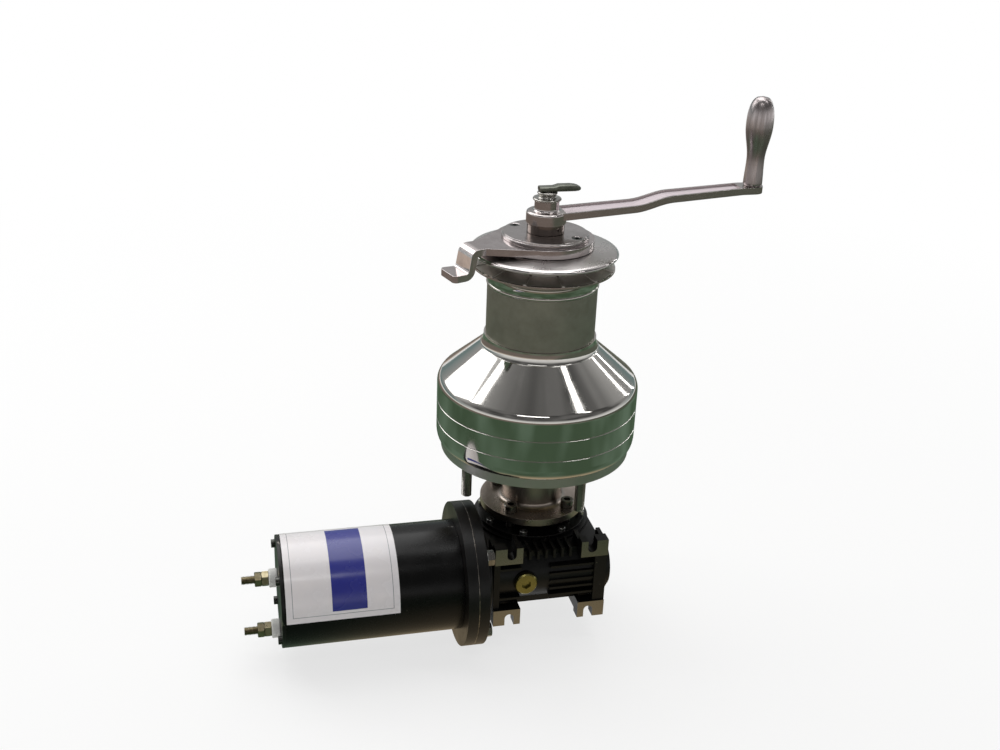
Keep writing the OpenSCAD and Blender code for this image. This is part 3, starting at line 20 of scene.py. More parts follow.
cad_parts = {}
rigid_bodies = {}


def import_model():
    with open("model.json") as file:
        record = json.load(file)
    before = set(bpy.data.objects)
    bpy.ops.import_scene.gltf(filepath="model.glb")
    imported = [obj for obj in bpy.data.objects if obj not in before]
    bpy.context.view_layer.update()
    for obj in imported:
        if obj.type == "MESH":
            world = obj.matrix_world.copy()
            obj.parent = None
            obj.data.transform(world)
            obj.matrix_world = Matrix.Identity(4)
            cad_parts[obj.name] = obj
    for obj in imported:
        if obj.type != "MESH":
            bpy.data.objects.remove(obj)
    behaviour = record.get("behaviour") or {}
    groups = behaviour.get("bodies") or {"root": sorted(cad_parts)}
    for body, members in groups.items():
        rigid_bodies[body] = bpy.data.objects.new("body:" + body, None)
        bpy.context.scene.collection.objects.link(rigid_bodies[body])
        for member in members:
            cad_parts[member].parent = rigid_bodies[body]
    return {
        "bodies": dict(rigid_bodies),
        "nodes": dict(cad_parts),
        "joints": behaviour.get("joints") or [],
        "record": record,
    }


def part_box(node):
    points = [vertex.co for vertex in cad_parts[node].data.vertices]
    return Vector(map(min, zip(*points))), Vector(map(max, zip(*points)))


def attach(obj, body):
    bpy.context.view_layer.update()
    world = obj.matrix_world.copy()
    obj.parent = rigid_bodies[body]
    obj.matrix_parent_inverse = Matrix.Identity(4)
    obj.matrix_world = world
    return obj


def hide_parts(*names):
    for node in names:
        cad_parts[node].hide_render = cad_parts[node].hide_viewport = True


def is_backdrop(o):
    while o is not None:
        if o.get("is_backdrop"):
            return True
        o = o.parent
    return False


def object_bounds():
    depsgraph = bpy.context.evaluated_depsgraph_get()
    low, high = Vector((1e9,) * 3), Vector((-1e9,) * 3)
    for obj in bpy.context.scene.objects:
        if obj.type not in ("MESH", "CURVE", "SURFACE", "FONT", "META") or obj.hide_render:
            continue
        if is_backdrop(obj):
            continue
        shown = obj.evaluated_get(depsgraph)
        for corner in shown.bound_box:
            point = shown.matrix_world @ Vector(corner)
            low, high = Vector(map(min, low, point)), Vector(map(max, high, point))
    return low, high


LOG = logging.getLogger("winch")
MM = 0.001
MOTOR_Y = -50.0
MOTOR_Z = -110.5
MERGE = 1e-6
# A CAD node's rounding: faces within the first angle are one flat, edges past the second are rounded
FLAT_ANGLE = 0.5
EDGE_ANGLE = 35.0
# A nut's or bolt's turned end: round face's share of the flats, corners' slope, and the bore's chamfer
FACE_SHARE = 0.985
CORNER_SLOPE = 0.577
BORE_CUT = 0.12
Pair = tuple[float, float]
Triple = tuple[float, float, float]
Profile = list[Pair]
Mesh = bmesh.types.BMesh
Tree = bpy.types.NodeTree
Node = bpy.types.Node
Add = Callable[..., Node]
Move = Callable[[Vector], Vector]
Ring = list[bmesh.types.BMEdge]

NODES: dict[str, bpy.types.Object] = {}
BODY_OF: dict[str, str] = {}
DRESSED: set[str] = set()


class LatheAxis(Enum):
    """Axis that a turned surface's tool marks run round: origin in mm, and the turn that brings it to Z."""

    DRUM = ((0.0, 0.0, 0.0), (0.0, 0.0, 0.0))
    PLUG = ((-24.2, 0.0, -109.4), (math.pi / 2, 0.0, 0.0))


def linear(code: str) -> tuple[float, float, float, float]:
    """Turns an sRGB hex colour into linear RGBA.

    Args:
        code: Colour as "#RRGGBB".

    Returns:
        Linear red, green, blue and an alpha of 1.
    """
    parts = [int(code[i:i + 2], 16) / 255 for i in (1, 3, 5)]
    r, g, b = (c / 12.92 if c <= 0.04045 else ((c + 0.055) / 1.055) ** 2.4 for c in parts)
    return r, g, b, 1.0


def per_mm(size: float) -> float:
    """Gives the texture scale whose features are about size mm across."""
    return 1.0 / (size * MM)


def add_node(tree: Tree, kind: str, inputs: dict[str | int, Any] | None = None, **settings: Any) -> Node:
    """Adds one shader node, with its settings, values and links.

    Args:
        tree: Node tree that takes the node.
        kind: Node type's identifier, without its "ShaderNode".
        inputs: Values, sockets or nodes for the inputs, by name or place. A node gives its first live output.
        settings: Attributes of the node.

    Returns:
        The new node.
    """
    node = tree.nodes.new("ShaderNode" + kind)
    for key, value in settings.items():
        setattr(node, key, value)
    for key, value in (inputs or {}).items():
        if isinstance(value, Node):
            value = next(socket for socket in value.outputs if socket.enabled)
        if isinstance(value, bpy.types.NodeSocket):
            tree.links.new(value, node.inputs[key])
        else:
            node.inputs[key].default_value = value
    return node


def empty_tree(owner: bpy.types.Material | bpy.types.World) -> Add:
    """Clears the nodes of a material or a world, and gives the call that adds a node to them."""
    owner.use_nodes = True
    owner.node_tree.nodes.clear()
    return partial(add_node, owner.node_tree)


@dataclass(frozen=True)
class Finish:
    """A surface finish: the material's name and the record's slot that it stands for."""

    title: str
    slot: str

    def material(self) -> bpy.types.Material:
        """Gives the finish's material, made once."""
        made = bpy.data.materials.get(self.title)
        if made is None:
            made = bpy.data.materials.new(self.title)
            add = empty_tree(made)
            add("OutputMaterial", {"Surface": self.surface(add)})
        return made

    def surface(self, add: Add) -> Node:
        """Builds the finish's nodes and gives the last shader."""
        raise NotImplementedError


@dataclass(frozen=True)
class TurnedMetal(Finish):
    """Metal turned or polished round an axis: fine rings, faint handling smudges, a soft change of tone."""

    colour: str
    shade: str
    rough: Pair
    ring_mm: float = 1.6
    ring_depth: float = 0.004
    smudge_mm: float = 26.0
    axis: LatheAxis = LatheAxis.DRUM
    dull_z: Pair = (0.0, 0.0)
    dull_rough: float = 0.0

    def surface(self, add: Add) -> Node:
        """Builds the finish's nodes and gives the last shader."""
        origin, turn = self.axis.value
        coord = add("TexCoord")
        place = add("Mapping", {
            "Vector": coord.outputs["Object"], "Location": [v * MM for v in origin], "Rotation": turn},
            vector_type="TEXTURE")
        level = add("VectorMath", {0: place, 1: (1, 1, 0)}, operation="MULTIPLY")
        radius = add("VectorMath", {0: level}, operation="LENGTH")
        split = add("SeparateXYZ", {0: place})
        section = add("CombineXYZ", {0: radius, 1: split.outputs[2]})
        rings = add("TexNoise", {"Vector": section, "Scale": per_mm(self.ring_mm), "Detail": 2.0})
        smudge = add("TexNoise", {
            "Vector": coord.outputs["Object"], "Scale": per_mm(self.smudge_mm), "Detail": 5.0,
            "Roughness": 0.62})
        rough = add("MapRange", {
            "Value": smudge, "From Min": 0.35, "From Max": 0.72, "To Min": self.rough[0],
            "To Max": self.rough[1]})
        tone = add("Mix", {0: smudge, 6: linear(self.colour), 7: linear(self.shade)}, data_type="RGBA")
        low, high = (z * MM for z in self.dull_z)
        dull = add("Math", {
            0: split.outputs[2], 1: (low + high) / 2, 2: (high - low) / 2}, operation="COMPARE")
        gloss = add("Math", {0: dull, 1: self.dull_rough, 2: rough}, operation="MULTIPLY_ADD")
        bump = add("Bump", {"Height": rings, "Strength": 0.5, "Distance": self.ring_depth * MM})
        return add("BsdfPrincipled", {
            "Base Color": tone, "Metallic": 1.0, "Roughness": gloss, "Normal": bump})


@dataclass(frozen=True)
class Grained(Finish):
    """Even grain with cloudy patches of tone: metal that is bead-blasted, cast, sintered or drawn."""

    colour: str
    shade: str
    rough: Pair
    grain_mm: float = 0.9
    grain_depth: float = 0.05
    grain_strength: float = 0.6
    cloud_mm: float = 18.0
    cloud_detail: float = 5.0
    cloud_rough: float = 0.6
    blend: Pair = (0.35, 0.65)
    stretch: Triple = (1.0, 1.0, 1.0)
    metallic: float = 1.0

    def surface(self, add: Add) -> Node:
        """Builds the finish's nodes and gives the last shader."""
        coord = add("TexCoord")
        drawn = add("Mapping", {"Vector": coord.outputs["Object"], "Scale": self.stretch})
        grain = add("TexNoise", {"Vector": drawn, "Scale": per_mm(self.grain_mm), "Detail": 3.0})
        cloud = add("TexNoise", {
            "Vector": drawn, "Scale": per_mm(self.cloud_mm), "Detail": self.cloud_detail,
            "Roughness": self.cloud_rough})
        rough = add("MapRange", {
            "Value": cloud, "From Min": 0.3, "From Max": 0.7, "To Min": self.rough[0],
            "To Max": self.rough[1]})
        share = add("MapRange", {"Value": cloud, "From Min": self.blend[0], "From Max": self.blend[1]})
        tone = add("Mix", {0: share, 6: linear(self.colour), 7: linear(self.shade)}, data_type="RGBA")
        bump = add("Bump", {
            "Height": grain, "Strength": self.grain_strength, "Distance": self.grain_depth * MM})
        return add("BsdfPrincipled", {
            "Base Color": tone, "Metallic": self.metallic, "Roughness": rough, "Normal": bump})


@dataclass(frozen=True)
class Moulding(Grained):
    """Moulded or pressed non-metal: a faint grain, a soft change of tone and a dull or waxy gloss."""

    grain_mm: float = 1.0
    grain_depth: float = 0.03
    grain_strength: float = 0.5
    cloud_mm: float = 9.0
    cloud_detail: float = 4.0
    cloud_rough: float = 0.5
    blend: Pair = (0.0, 1.0)
    metallic: float = 0.0


@dataclass(frozen=True)
class ChannelledArm(Finish):
    """Polished casting whose sunk channel, below the arm's rising top, is left as it was cast."""

    polish: str
    cast: str
    rough: Pair
    top: Pair = (236.96, 0.07)
    flat_x: float = 188.0
    step: Triple = (82.0, 118.0, 5.8)
    sunk: float = 1.2
    level: float = 0.7
    mottle: Pair = (0.14, -0.07)
    mottle_mm: float = 7.0
    cast_metallic: float = 0.5

    def surface(self, add: Add) -> Node:
        """Builds the finish's nodes and gives the last shader."""
        coord = add("TexCoord")
        split = add("SeparateXYZ", {0: coord.outputs["Object"]})
        face = add("SeparateXYZ", {0: coord.outputs["Normal"]})
        along = add("Math", {0: split.outputs[0], 1: self.flat_x * MM}, operation="MINIMUM")
        slope = add("Math", {0: along, 1: self.top[1], 2: self.top[0] * MM}, operation="MULTIPLY_ADD")
        step = add("MapRange", {
            "Value": split.outputs[0], "From Min": self.step[0] * MM, "From Max": self.step[1] * MM,
            "To Max": self.step[2] * MM}, interpolation_type="SMOOTHSTEP")
        top = add("Math", {0: slope, 1: step})
        depth = add("Math", {0: top, 1: split.outputs[2]}, operation="SUBTRACT")
        sunk = add("Math", {0: depth, 1: self.sunk * MM}, operation="GREATER_THAN")
        level = add("Math", {0: face.outputs[2], 1: self.level}, operation="GREATER_THAN")
        floor = add("Math", {0: sunk, 1: level}, operation="MULTIPLY")
        cloud = add("TexNoise", {
            "Vector": coord.outputs["Object"], "Scale": per_mm(self.mottle_mm), "Detail": 5.0,
            "Roughness": 0.6})
        tone = add("Mix", {0: floor, 6: linear(self.polish), 7: linear(self.cast)}, data_type="RGBA")
        worn = add("Math", {0: cloud, 1: self.mottle[0], 2: self.mottle[1]}, operation="MULTIPLY_ADD")
        base = add("Mix", {0: floor, 2: self.rough[0], 3: self.rough[1]})
        rough = add("Math", {0: base, 1: worn})
        metal = add("Mix", {0: floor, 2: 1.0, 3: self.cast_metallic})
        bump = add("Bump", {"Height": cloud, "Strength": 0.3, "Distance": 0.1 * MM})
        return add("BsdfPrincipled", {
            "Base Color": tone, "Metallic": metal, "Roughness": rough, "Normal": bump})


@dataclass(frozen=True)
class PaintedCasting(Finish):
    """Black enamel over cast metal: orange peel, dust in patches, bright metal where edges are rubbed."""

    colour: str
    dust: str
    bare: str
    rough: Pair
    peel_mm: float = 1.8
    cast_mm: float = 7.0
    wear: float = 0.5
    pads_y: float = -999.0
    seam_x: float = -999.0
    seam_half: float = 0.35
    rub: float = 1.0
    gloss: float = 0.5
    cast_share: float = 1.6
    dust_mm: float = 32.0
    mark_mm: float = 0.8
    chip_mm: float = 5.0

    def surface(self, add: Add) -> Node:
        """Builds the finish's nodes and gives the last shader."""
        coord = add("TexCoord")
        place = coord.outputs["Object"]
        shape = add("NewGeometry")
        split = add("SeparateXYZ", {0: place})
        peel, cast, cloud, marks, chip = (
            add("TexNoise", {"Vector": place, "Scale": per_mm(size), "Detail": detail, "Roughness": rough})
            for size, detail, rough in (
                (self.peel_mm, 2.0, 0.5), (self.cast_mm, 4.0, 0.5), (self.dust_mm, 6.0, 0.65),
                (self.mark_mm, 2.0, 0.5), (self.chip_mm, 5.0, 0.5)))
        worn = 0.2 * self.wear
        dusty, rough, scraped, edge, chipped, line = (
            add("MapRange", {"Value": value, "From Min": a, "From Max": b, "To Min": c, "To Max": d})
            for value, (a, b), (c, d) in (
                (cloud, (0.48, 0.8), (0.0, 0.55)), (cloud, (0.35, 0.7), self.rough),
                (marks, (0.3, 0.7), (0.24, 0.42)),
                (shape.outputs["Pointiness"], (0.53, 0.62), (0.0, self.rub)),
                (chip, (0.62 - worn, 0.7 - worn), (0.0, 1.0)), (chip, (0.38, 0.6), (0.3, 0.9))))
        height = add("Math", {0: cast, 1: self.cast_share, 2: peel}, operation="MULTIPLY_ADD")
        bump = add("Bump", {"Height": height, "Strength": 0.35, "Distance": 0.09 * MM})
        tone = add("Mix", {0: dusty, 6: linear(self.colour), 7: linear(self.dust)}, data_type="RGBA")
        enamel = add("BsdfPrincipled", {
            "Base Color": tone, "Roughness": rough, "Normal": bump, "Specular IOR Level": self.gloss})
        metal = add("BsdfPrincipled", {
            "Base Color": linear(self.bare), "Metallic": 1.0, "Roughness": scraped, "Normal": bump})
        rubbed = add("Math", {0: edge, 1: chipped}, operation="MULTIPLY")
        faced = add("Math", {0: split.outputs[1], 1: self.pads_y * MM}, operation="LESS_THAN")
        seam = add("Math", {
            0: split.outputs[0], 1: self.seam_x * MM, 2: self.seam_half * MM}, operation="COMPARE")
        nicked = add("Math", {0: seam, 1: line}, operation="MULTIPLY")
        bared = add("Math", {0: rubbed, 1: nicked}, operation="MAXIMUM")
        shown = add("Math", {0: bared, 1: faced}, operation="MAXIMUM")
        return add("MixShader", {0: shown, 1: enamel, 2: metal})


@dataclass(frozen=True)
class LabelFilm(Finish):
    """Gloss laminated label: white film, a plain blue band and a thin border line, on the piece's own UV."""

    paper: str
    shade: str
    band: str
    line: str
    width: float = 104.0
    height: float = 111.3
    border: float = 6.0
    line_half: float = 0.28
    band_gap: float = 3.0
    cloud_mm: float = 22.0
    band_mid: float = 57.7
    band_half: float = 16.0

    def surface(self, add: Add) -> Node:
        """Builds the finish's nodes and gives the last shader."""
        sheet = add("UVMap", uv_map="sheet")
        size = add("Mapping", {"Vector": sheet, "Scale": (self.width, self.height, 1)})
        split = add("SeparateXYZ", {0: size})
        edges = []
        for axis, length in enumerate((self.width, self.height)):
            middle = add("Math", {0: split.outputs[axis], 1: length / 2}, operation="SUBTRACT")
            off = add("Math", {0: middle}, operation="ABSOLUTE")
            edges.append(add("Math", {0: length / 2, 1: off}, operation="SUBTRACT"))
        inset = add("Math", {0: edges[0], 1: edges[1]}, operation="MINIMUM")
        frame = add("Math", {0: inset, 1: self.border, 2: self.line_half}, operation="COMPARE")
        band_x = add("Math", {
            0: split.outputs[0], 1: self.band_mid, 2: self.band_half}, operation="COMPARE")
        band_y = add("Math", {0: edges[1], 1: self.border + self.band_gap}, operation="GREATER_THAN")
        banded = add("Math", {0: band_x, 1: band_y}, operation="MULTIPLY")
        coord = add("TexCoord")
        cloud = add("TexNoise", {
            "Vector": coord.outputs["Object"], "Scale": per_mm(self.cloud_mm), "Detail": 4.0})
        aged = add("Mix", {0: cloud, 6: linear(self.paper), 7: linear(self.shade)}, data_type="RGBA")
        lined = add("Mix", {0: frame, 6: aged, 7: linear(self.line)}, data_type="RGBA")
        inked = add("Mix", {0: banded, 6: lined, 7: linear(self.band)}, data_type="RGBA")
        rough = add("MapRange", {
            "Value": cloud, "From Min": 0.3, "From Max": 0.7, "To Min": 0.2, "To Max": 0.34})
        return add("BsdfPrincipled", {
            "Base Color": inked, "Roughness": rough, "Coat Weight": 0.25, "Coat Roughness": 0.12})


# Buffed stainless steel: a mirror with faint ring marks, so bright and dark shapes slide over it
POLISHED = TurnedMetal("polished_stainless_steel", "polished_stainless", "#d3d0cb", "#c2bfba",
                       (0.035, 0.11))
# The jaws: polished outside, with a dull groove where the rope rubs
JAW_POLISH = TurnedMetal("polished_stainless_jaws", "polished_stainless", "#cdc8c2", "#bab5af",
                         (0.05, 0.13), dull_z=(187.3, 198.2), dull_rough=0.4)
# The upper jaw: a mirror rim round a crown dulled by the rope's tail
CROWN_POLISH = TurnedMetal("polished_stainless_crown", "polished_stainless", "#cdc8c6", "#bab5b3",
                           (0.06, 0.14), dull_z=(202.2, 207.0), dull_rough=0.2)
# The grip: drawn lengthwise with fine cloth, so its light runs in soft upright streaks
DRAWN_GRIP = Grained("drawn_stainless_grip", "polished_stainless", "#b9b1b1", "#938b8a", (0.2, 0.36),
                     cloud_mm=5, stretch=(1.0, 1.0, 0.05))
# Buffed castings: less flat than a turned face, so reflections are softer
BUFFED = Grained("buffed_stainless_steel", "polished_stainless", "#c6c0bf", "#b0a9a8", (0.13, 0.24),
                 grain_mm=2.6, grain_depth=0.02, cloud_mm=16)
# Polished casting of the feeder: a soft mirror with cloth marks
FEEDER_POLISH = Grained("polished_feeder_casting", "polished_stainless", "#dcd4d3", "#c6bdbc", (0.07, 0.16),
                        grain_mm=2.2, grain_depth=0.015, cloud_mm=14)
# The handle's arm: polished hub, sides and rims round a pale cast channel
ARM_CASTING = ChannelledArm("polished_arm_casting", "polished_stainless", "#c4bdbb", "#c6bbbf", (0.12, 0.5))
# Bead-blasted rope barrel: a dull olive grey that spreads the light evenly
BLASTED = Grained("bead_blasted_stainless_steel", "blasted_stainless", "#a3a095", "#929085", (0.42, 0.55),
                  grain_depth=0.06, cloud_mm=24)
# Turned but unpolished stainless steel: visible rings and a silky gloss
SATIN = TurnedMetal("satin_turned_stainless_steel", "satin_stainless", "#b9b6b1", "#a19e99", (0.18, 0.32),
                    ring_mm=1.1, ring_depth=0.02)
# The spindle's collar: dark turned steel that shows upright lights
COLLAR_STEEL = TurnedMetal("dark_turned_collar", "satin_stainless", "#958a84", "#7e746e", (0.09, 0.18))
# The neck: turned, with a browner tone and a duller gloss than the drum
NECK_SATIN = TurnedMetal("satin_turned_neck", "satin_stainless", "#b1a69d", "#978c84", (0.26, 0.4),
                         ring_mm=1.1, ring_depth=0.02)
# The base plate's rim: coarser turning that stays pale from all sides
RIM_SATIN = TurnedMetal("coarse_turned_rim", "satin_stainless", "#c9c6c1", "#b3b0ab", (0.34, 0.48),
                        ring_mm=0.9, ring_depth=0.03)
# Moulded nylon: waxy off-white. The frame has a plain material of this name, which is used first
NYLON = Moulding("white_nylon", "white_nylon", "#e4e1da", "#d6d2c8", (0.38, 0.5))
# Sintered bronze: brown gold with open pores
BRONZE = Grained("sintered_bronze", "bronze", "#a97d48", "#8c6536", (0.32, 0.48), grain_mm=0.7)
# Turned brass: clean yellow rings
BRASS = TurnedMetal("turned_brass", "yellow_brass", "#99915a", "#7c7545", (0.22, 0.36), ring_mm=0.9,
                    ring_depth=0.02, axis=LatheAxis.PLUG, smudge_mm=9)
# Brass studs that have dulled: greyish yellow
DULL_BRASS = Grained("tarnished_brass", "yellow_brass", "#a39a80", "#857a5e", (0.26, 0.42), grain_mm=0.8,
                     cloud_mm=7)
# Ground gear steel with an oil film
GEAR_STEEL = Grained("ground_gear_steel", "gear_steel", "#8f9092", "#77787a", (0.22, 0.34), grain_mm=0.6,
                     grain_depth=0.01)
# Black enamel on the gearbox casting, with its machined feet left bare
HOUSING_PAINT = PaintedCasting("black_enamel_casting", "black_paint", "#080808", "#131211", "#8b877e",
                               (0.36, 0.5), wear=-0.6, pads_y=-83.9, gloss=0.28)
# Black enamel on the turned covers and end caps
COVER_PAINT = PaintedCasting("black_enamel_cover", "black_paint", "#0b0a0a", "#1c1917", "#b5aea6",
                             (0.3, 0.44), peel_mm=1.4, cast_mm=5.0, wear=1.0, gloss=0.32)
# Black enamel on the two flanges, rubbed through only along the joint between them
FLANGE_PAINT = PaintedCasting("black_enamel_flange", "black_paint", "#0b0a0a", "#1f1a17", "#b5aea6",
                              (0.3, 0.44), peel_mm=1.4, cast_mm=5.0, seam_x=-78.1, rub=0.0, gloss=0.32)
# Black enamel on the drawn motor tube: smoother, with a broad soft highlight
SHELL_PAINT = PaintedCasting("black_enamel_tube", "black_paint", "#080808", "#110f0f", "#8d8b88",
                             (0.22, 0.32), peel_mm=2.2, cast_mm=12.0, wear=0.0, gloss=0.22)
# Blackened steel screws: dark grey, oiled
DARK_STEEL = Grained("blackened_steel", "dark_steel", "#565753", "#3c3d3a", (0.2, 0.32), grain_mm=0.8)
# Cast lock lever with a worn dark patina: olive grey and a little brighter than the screws
PATINA = Grained("patinated_cast_steel", "dark_steel", "#6d6f66", "#5b5d55", (0.34, 0.46), grain_mm=1.6,
                 cloud_mm=8)
# Oiled steel screws and bolt heads: grey with bright turned rims
SCREW_STEEL = Grained("oiled_screw_steel", "dark_steel", "#8d8a84", "#6c6964", (0.16, 0.3), grain_mm=0.8,
                      cloud_mm=5)
# Zinc-plated screws and washers: pale and slightly cloudy
ZINC = Grained("zinc_plated_steel", "dark_steel", "#aeadab", "#8f8e8b", (0.24, 0.38), grain_mm=1.2,
               cloud_mm=6)
# Nitrile seal lips: matt black
RUBBER = Moulding("nitrile_rubber", "seal_rubber", "#1b1b1b", "#262625", (0.55, 0.7))
# Hard ferrite magnets: charcoal ceramic
FERRITE = Moulding("hard_ferrite", "ferrite", "#3a3a3c", "#2d2d2f", (0.45, 0.6))
# Stacked laminations under varnish
IRON = Grained("varnished_laminations", "armature_iron", "#6b635a", "#544d45", (0.35, 0.5), grain_mm=0.8)
# Bare copper segments
COPPER = Grained("drawn_copper", "copper", "#b87352", "#98583a", (0.24, 0.4), grain_mm=0.8)
# Pressed carbon: matt black with a faint sheen
CARBON = Moulding("pressed_carbon", "carbon", "#232324", "#2f2f30", (0.5, 0.66))
# Phenolic board: brown and slightly glossy
PHENOLIC = Moulding("phenolic_board", "phenolic", "#6d4427", "#57341c", (0.36, 0.5))
# Laminated label film
LABEL = LabelFilm("laminated_label_film", "label_film", "#f1eae8", "#e2e0e4", "#2b3088", "#8b8b90")

SLOT_FINISH: dict[str, Finish] = {f.slot: f for f in (
    POLISHED, BLASTED, SATIN, NYLON, BRONZE, BRASS, GEAR_STEEL, COVER_PAINT, DARK_STEEL, RUBBER, FERRITE,
    IRON, COPPER, CARBON, PHENOLIC, LABEL)}


def arc(cr: float, cz: float, rr: float, rz: float, start: float, end: float, steps: int) -> Profile:
    """Gives points on an elliptic arc about (cr, cz) with half axes rr and rz, from angle to angle."""
    turns = [math.radians(start + (end - start) * i / steps) for i in range(steps + 1)]
    return [(cr + rr * math.cos(t), cz + rz * math.sin(t)) for t in turns]


def lathe(profile: Profile, steps: int, loop: bool = True) -> Mesh:
    """Spins a half section round Z.

    Args:
        profile: Radius and height of each corner.
        steps: Number of segments round the axis.
        loop: True where the section's last corner joins its first.

    Returns:
        A closed mesh in metres.
    """
    bm = bmesh.new()
    verts = [bm.verts.new((r * MM, 0.0, z * MM)) for r, z in profile]
    ends = verts[1:] + verts[:1] if loop else verts[1:]
    edges = [bm.edges.new(pair) for pair in zip(verts, ends)]
    bmesh.ops.spin(bm, geom=verts + edges, cent=(0, 0, 0), axis=(0, 0, 1), dvec=(0, 0, 0), angle=math.tau,
                   steps=steps, use_merge=True, use_duplicate=False)
    return tidy(bm)


def tube(bore: float, r: float, low: float, high: float, steps: int) -> Mesh:
    """Makes an upright tube, or a rod where the bore is 0, from its radii, its ends and its segments."""
    return lathe([(bore, low), (r, low), (r, high), (bore, high)], steps, loop=bore > 0)


def tidy(bm: Mesh) -> Mesh:
    """Merges doubles and turns all faces outwards."""
    bmesh.ops.remove_doubles(bm, verts=bm.verts, dist=MERGE)
    bmesh.ops.recalc_face_normals(bm, faces=bm.faces)
    return bm


def soften(bm: Mesh, width: float, segments: int = 3, angle: float = 30.0) -> Mesh:
    """Rounds the edges that are sharper than an angle.

    Args:
        bm: Mesh to change.
        width: Width of the rounding in mm.
        segments: Number of strips.
        angle: Least angle between faces, in degrees.

    Returns:
        The same mesh.
    """
    sharp = [e for e in bm.edges if e.is_manifold and e.calc_face_angle(0.0) > math.radians(angle)]
    bmesh.ops.bevel(bm, geom=sharp, offset=width * MM, offset_type="OFFSET", affect="EDGES",
                    segments=segments, profile=0.5, material=-1, clamp_overlap=True)
    return bm


def extend(bm: Mesh, ring: Ring, move: Move) -> Ring:
    """Extrudes a ring of edges and moves the new ring.

    Args:
        bm: Mesh to change.
        ring: Edges to extrude.
        move: Gives a new corner's place from its old one, in metres.

    Returns:
        The new ring's edges.
    """
    made = bmesh.ops.extrude_edge_only(bm, edges=ring)["geom"]
    fresh = {g for g in made if isinstance(g, bmesh.types.BMVert)}
    for vert in fresh:
        vert.co = move(vert.co)
    return [g for g in made if isinstance(g, bmesh.types.BMEdge) and set(g.verts) <= fresh]


def ring_at(r: float, z: float) -> Move:
    """Gives a move that sends a corner out to radius r at height z, along its own direction."""
    return lambda co: Vector((co.x, co.y, 0)).normalized() * (r * MM) + Vector((0, 0, z * MM))


def hexagon(bm: Mesh, r: float, z: float, cuts: int = 3) -> Ring:
    """Adds a hexagon ring whose sides are cut into equal lengths.

    Args:
        bm: Mesh to change.
        r: Radius to the corners in mm.
        z: Height in mm.
        cuts: Cuts in each side.

    Returns:
        The ring's edges.
    """
    bmesh.ops.create_circle(bm, cap_ends=False, segments=6, radius=r * MM, matrix=spot(z=z))
    bmesh.ops.subdivide_edges(bm, edges=bm.edges[:], cuts=cuts)
    return bm.edges[:]


@dataclass(frozen=True)
class SocketScrew:
    """Screw with a hexagon socket: sizes of its head, socket and shank, and whether it is countersunk."""

    head_r: float
    head_h: float
    key_r: float
    depth: float
    shank_r: float
    length: float
    flat: bool = False

    def mesh(self) -> Mesh:
        """Makes the screw, its head's seat at z 0 or its flat top at z 0."""
        bm = bmesh.new()
        top = 0.0 if self.flat else self.head_h
        lip = 0.06 if self.flat else 0.1
        ring = hexagon(bm, self.key_r, top)
        floor = extend(bm, ring, lambda co: co - Vector((0, 0, self.depth * MM)))
        bmesh.ops.edgeloop_fill(bm, edges=floor)
        path = [(self.head_r * (1 - lip), top), (self.head_r, top - self.head_r * lip)]
        if self.flat:
            path += [(self.shank_r, -(self.head_r - self.shank_r) - self.head_r * lip)]
        else:
            path += [(self.head_r, 0), (self.shank_r, 0)]
        for r, z in path + [(self.shank_r, -self.length)]:
            ring = extend(bm, ring, ring_at(r, z))
        bmesh.ops.edgeloop_fill(bm, edges=ring)
        return tidy(bm)


def hex_block(r: float, h: float, bore: float = 0.0, foot_cut: bool = True) -> Mesh:
    """Makes a nut, or a bolt's head where the bore is 0, with turned corners.

    Args:
        r: Radius to the corners.
        h: Height above z 0.
        bore: Radius of the bore.
        foot_cut: True where the lower end's corners are turned off too.

    Returns:
        The block's mesh.
    """
    bm = bmesh.new()
    face_r = r * math.cos(math.pi / 6) * FACE_SHARE
    ring = hexagon(bm, r, h / 2, cuts=5)

    def side(z: float, cut: bool, sign: float) -> Move:
        """Gives a move to one end of the flats, along the turned corners' curve."""
        def move(co: Vector) -> Vector:
            """Drops a corner by how far it stands past the round face."""
            out = max(math.hypot(co.x, co.y) / MM - face_r, 0.0) if cut else 0.0
            return Vector((co.x, co.y, (z - sign * out * CORNER_SLOPE) * MM))
        return move

    ends = []
    for z, cut, sign in ((h, True, 1.0), (0.0, foot_cut, -1.0)):
        rim = extend(bm, ring, side(z, cut, sign))
        if cut:
            rim = extend(bm, rim, ring_at(face_r, z))
        if bore:
            rim = extend(bm, rim, ring_at(bore * (1 + BORE_CUT), z))
            rim = extend(bm, rim, ring_at(bore, z - sign * bore * BORE_CUT))
        ends.append(rim)
    if bore:
        bmesh.ops.bridge_loops(bm, edges=ends[0] + ends[1])
    else:
        for rim in ends:
            bmesh.ops.edgeloop_fill(bm, edges=rim)
    return tidy(bm)


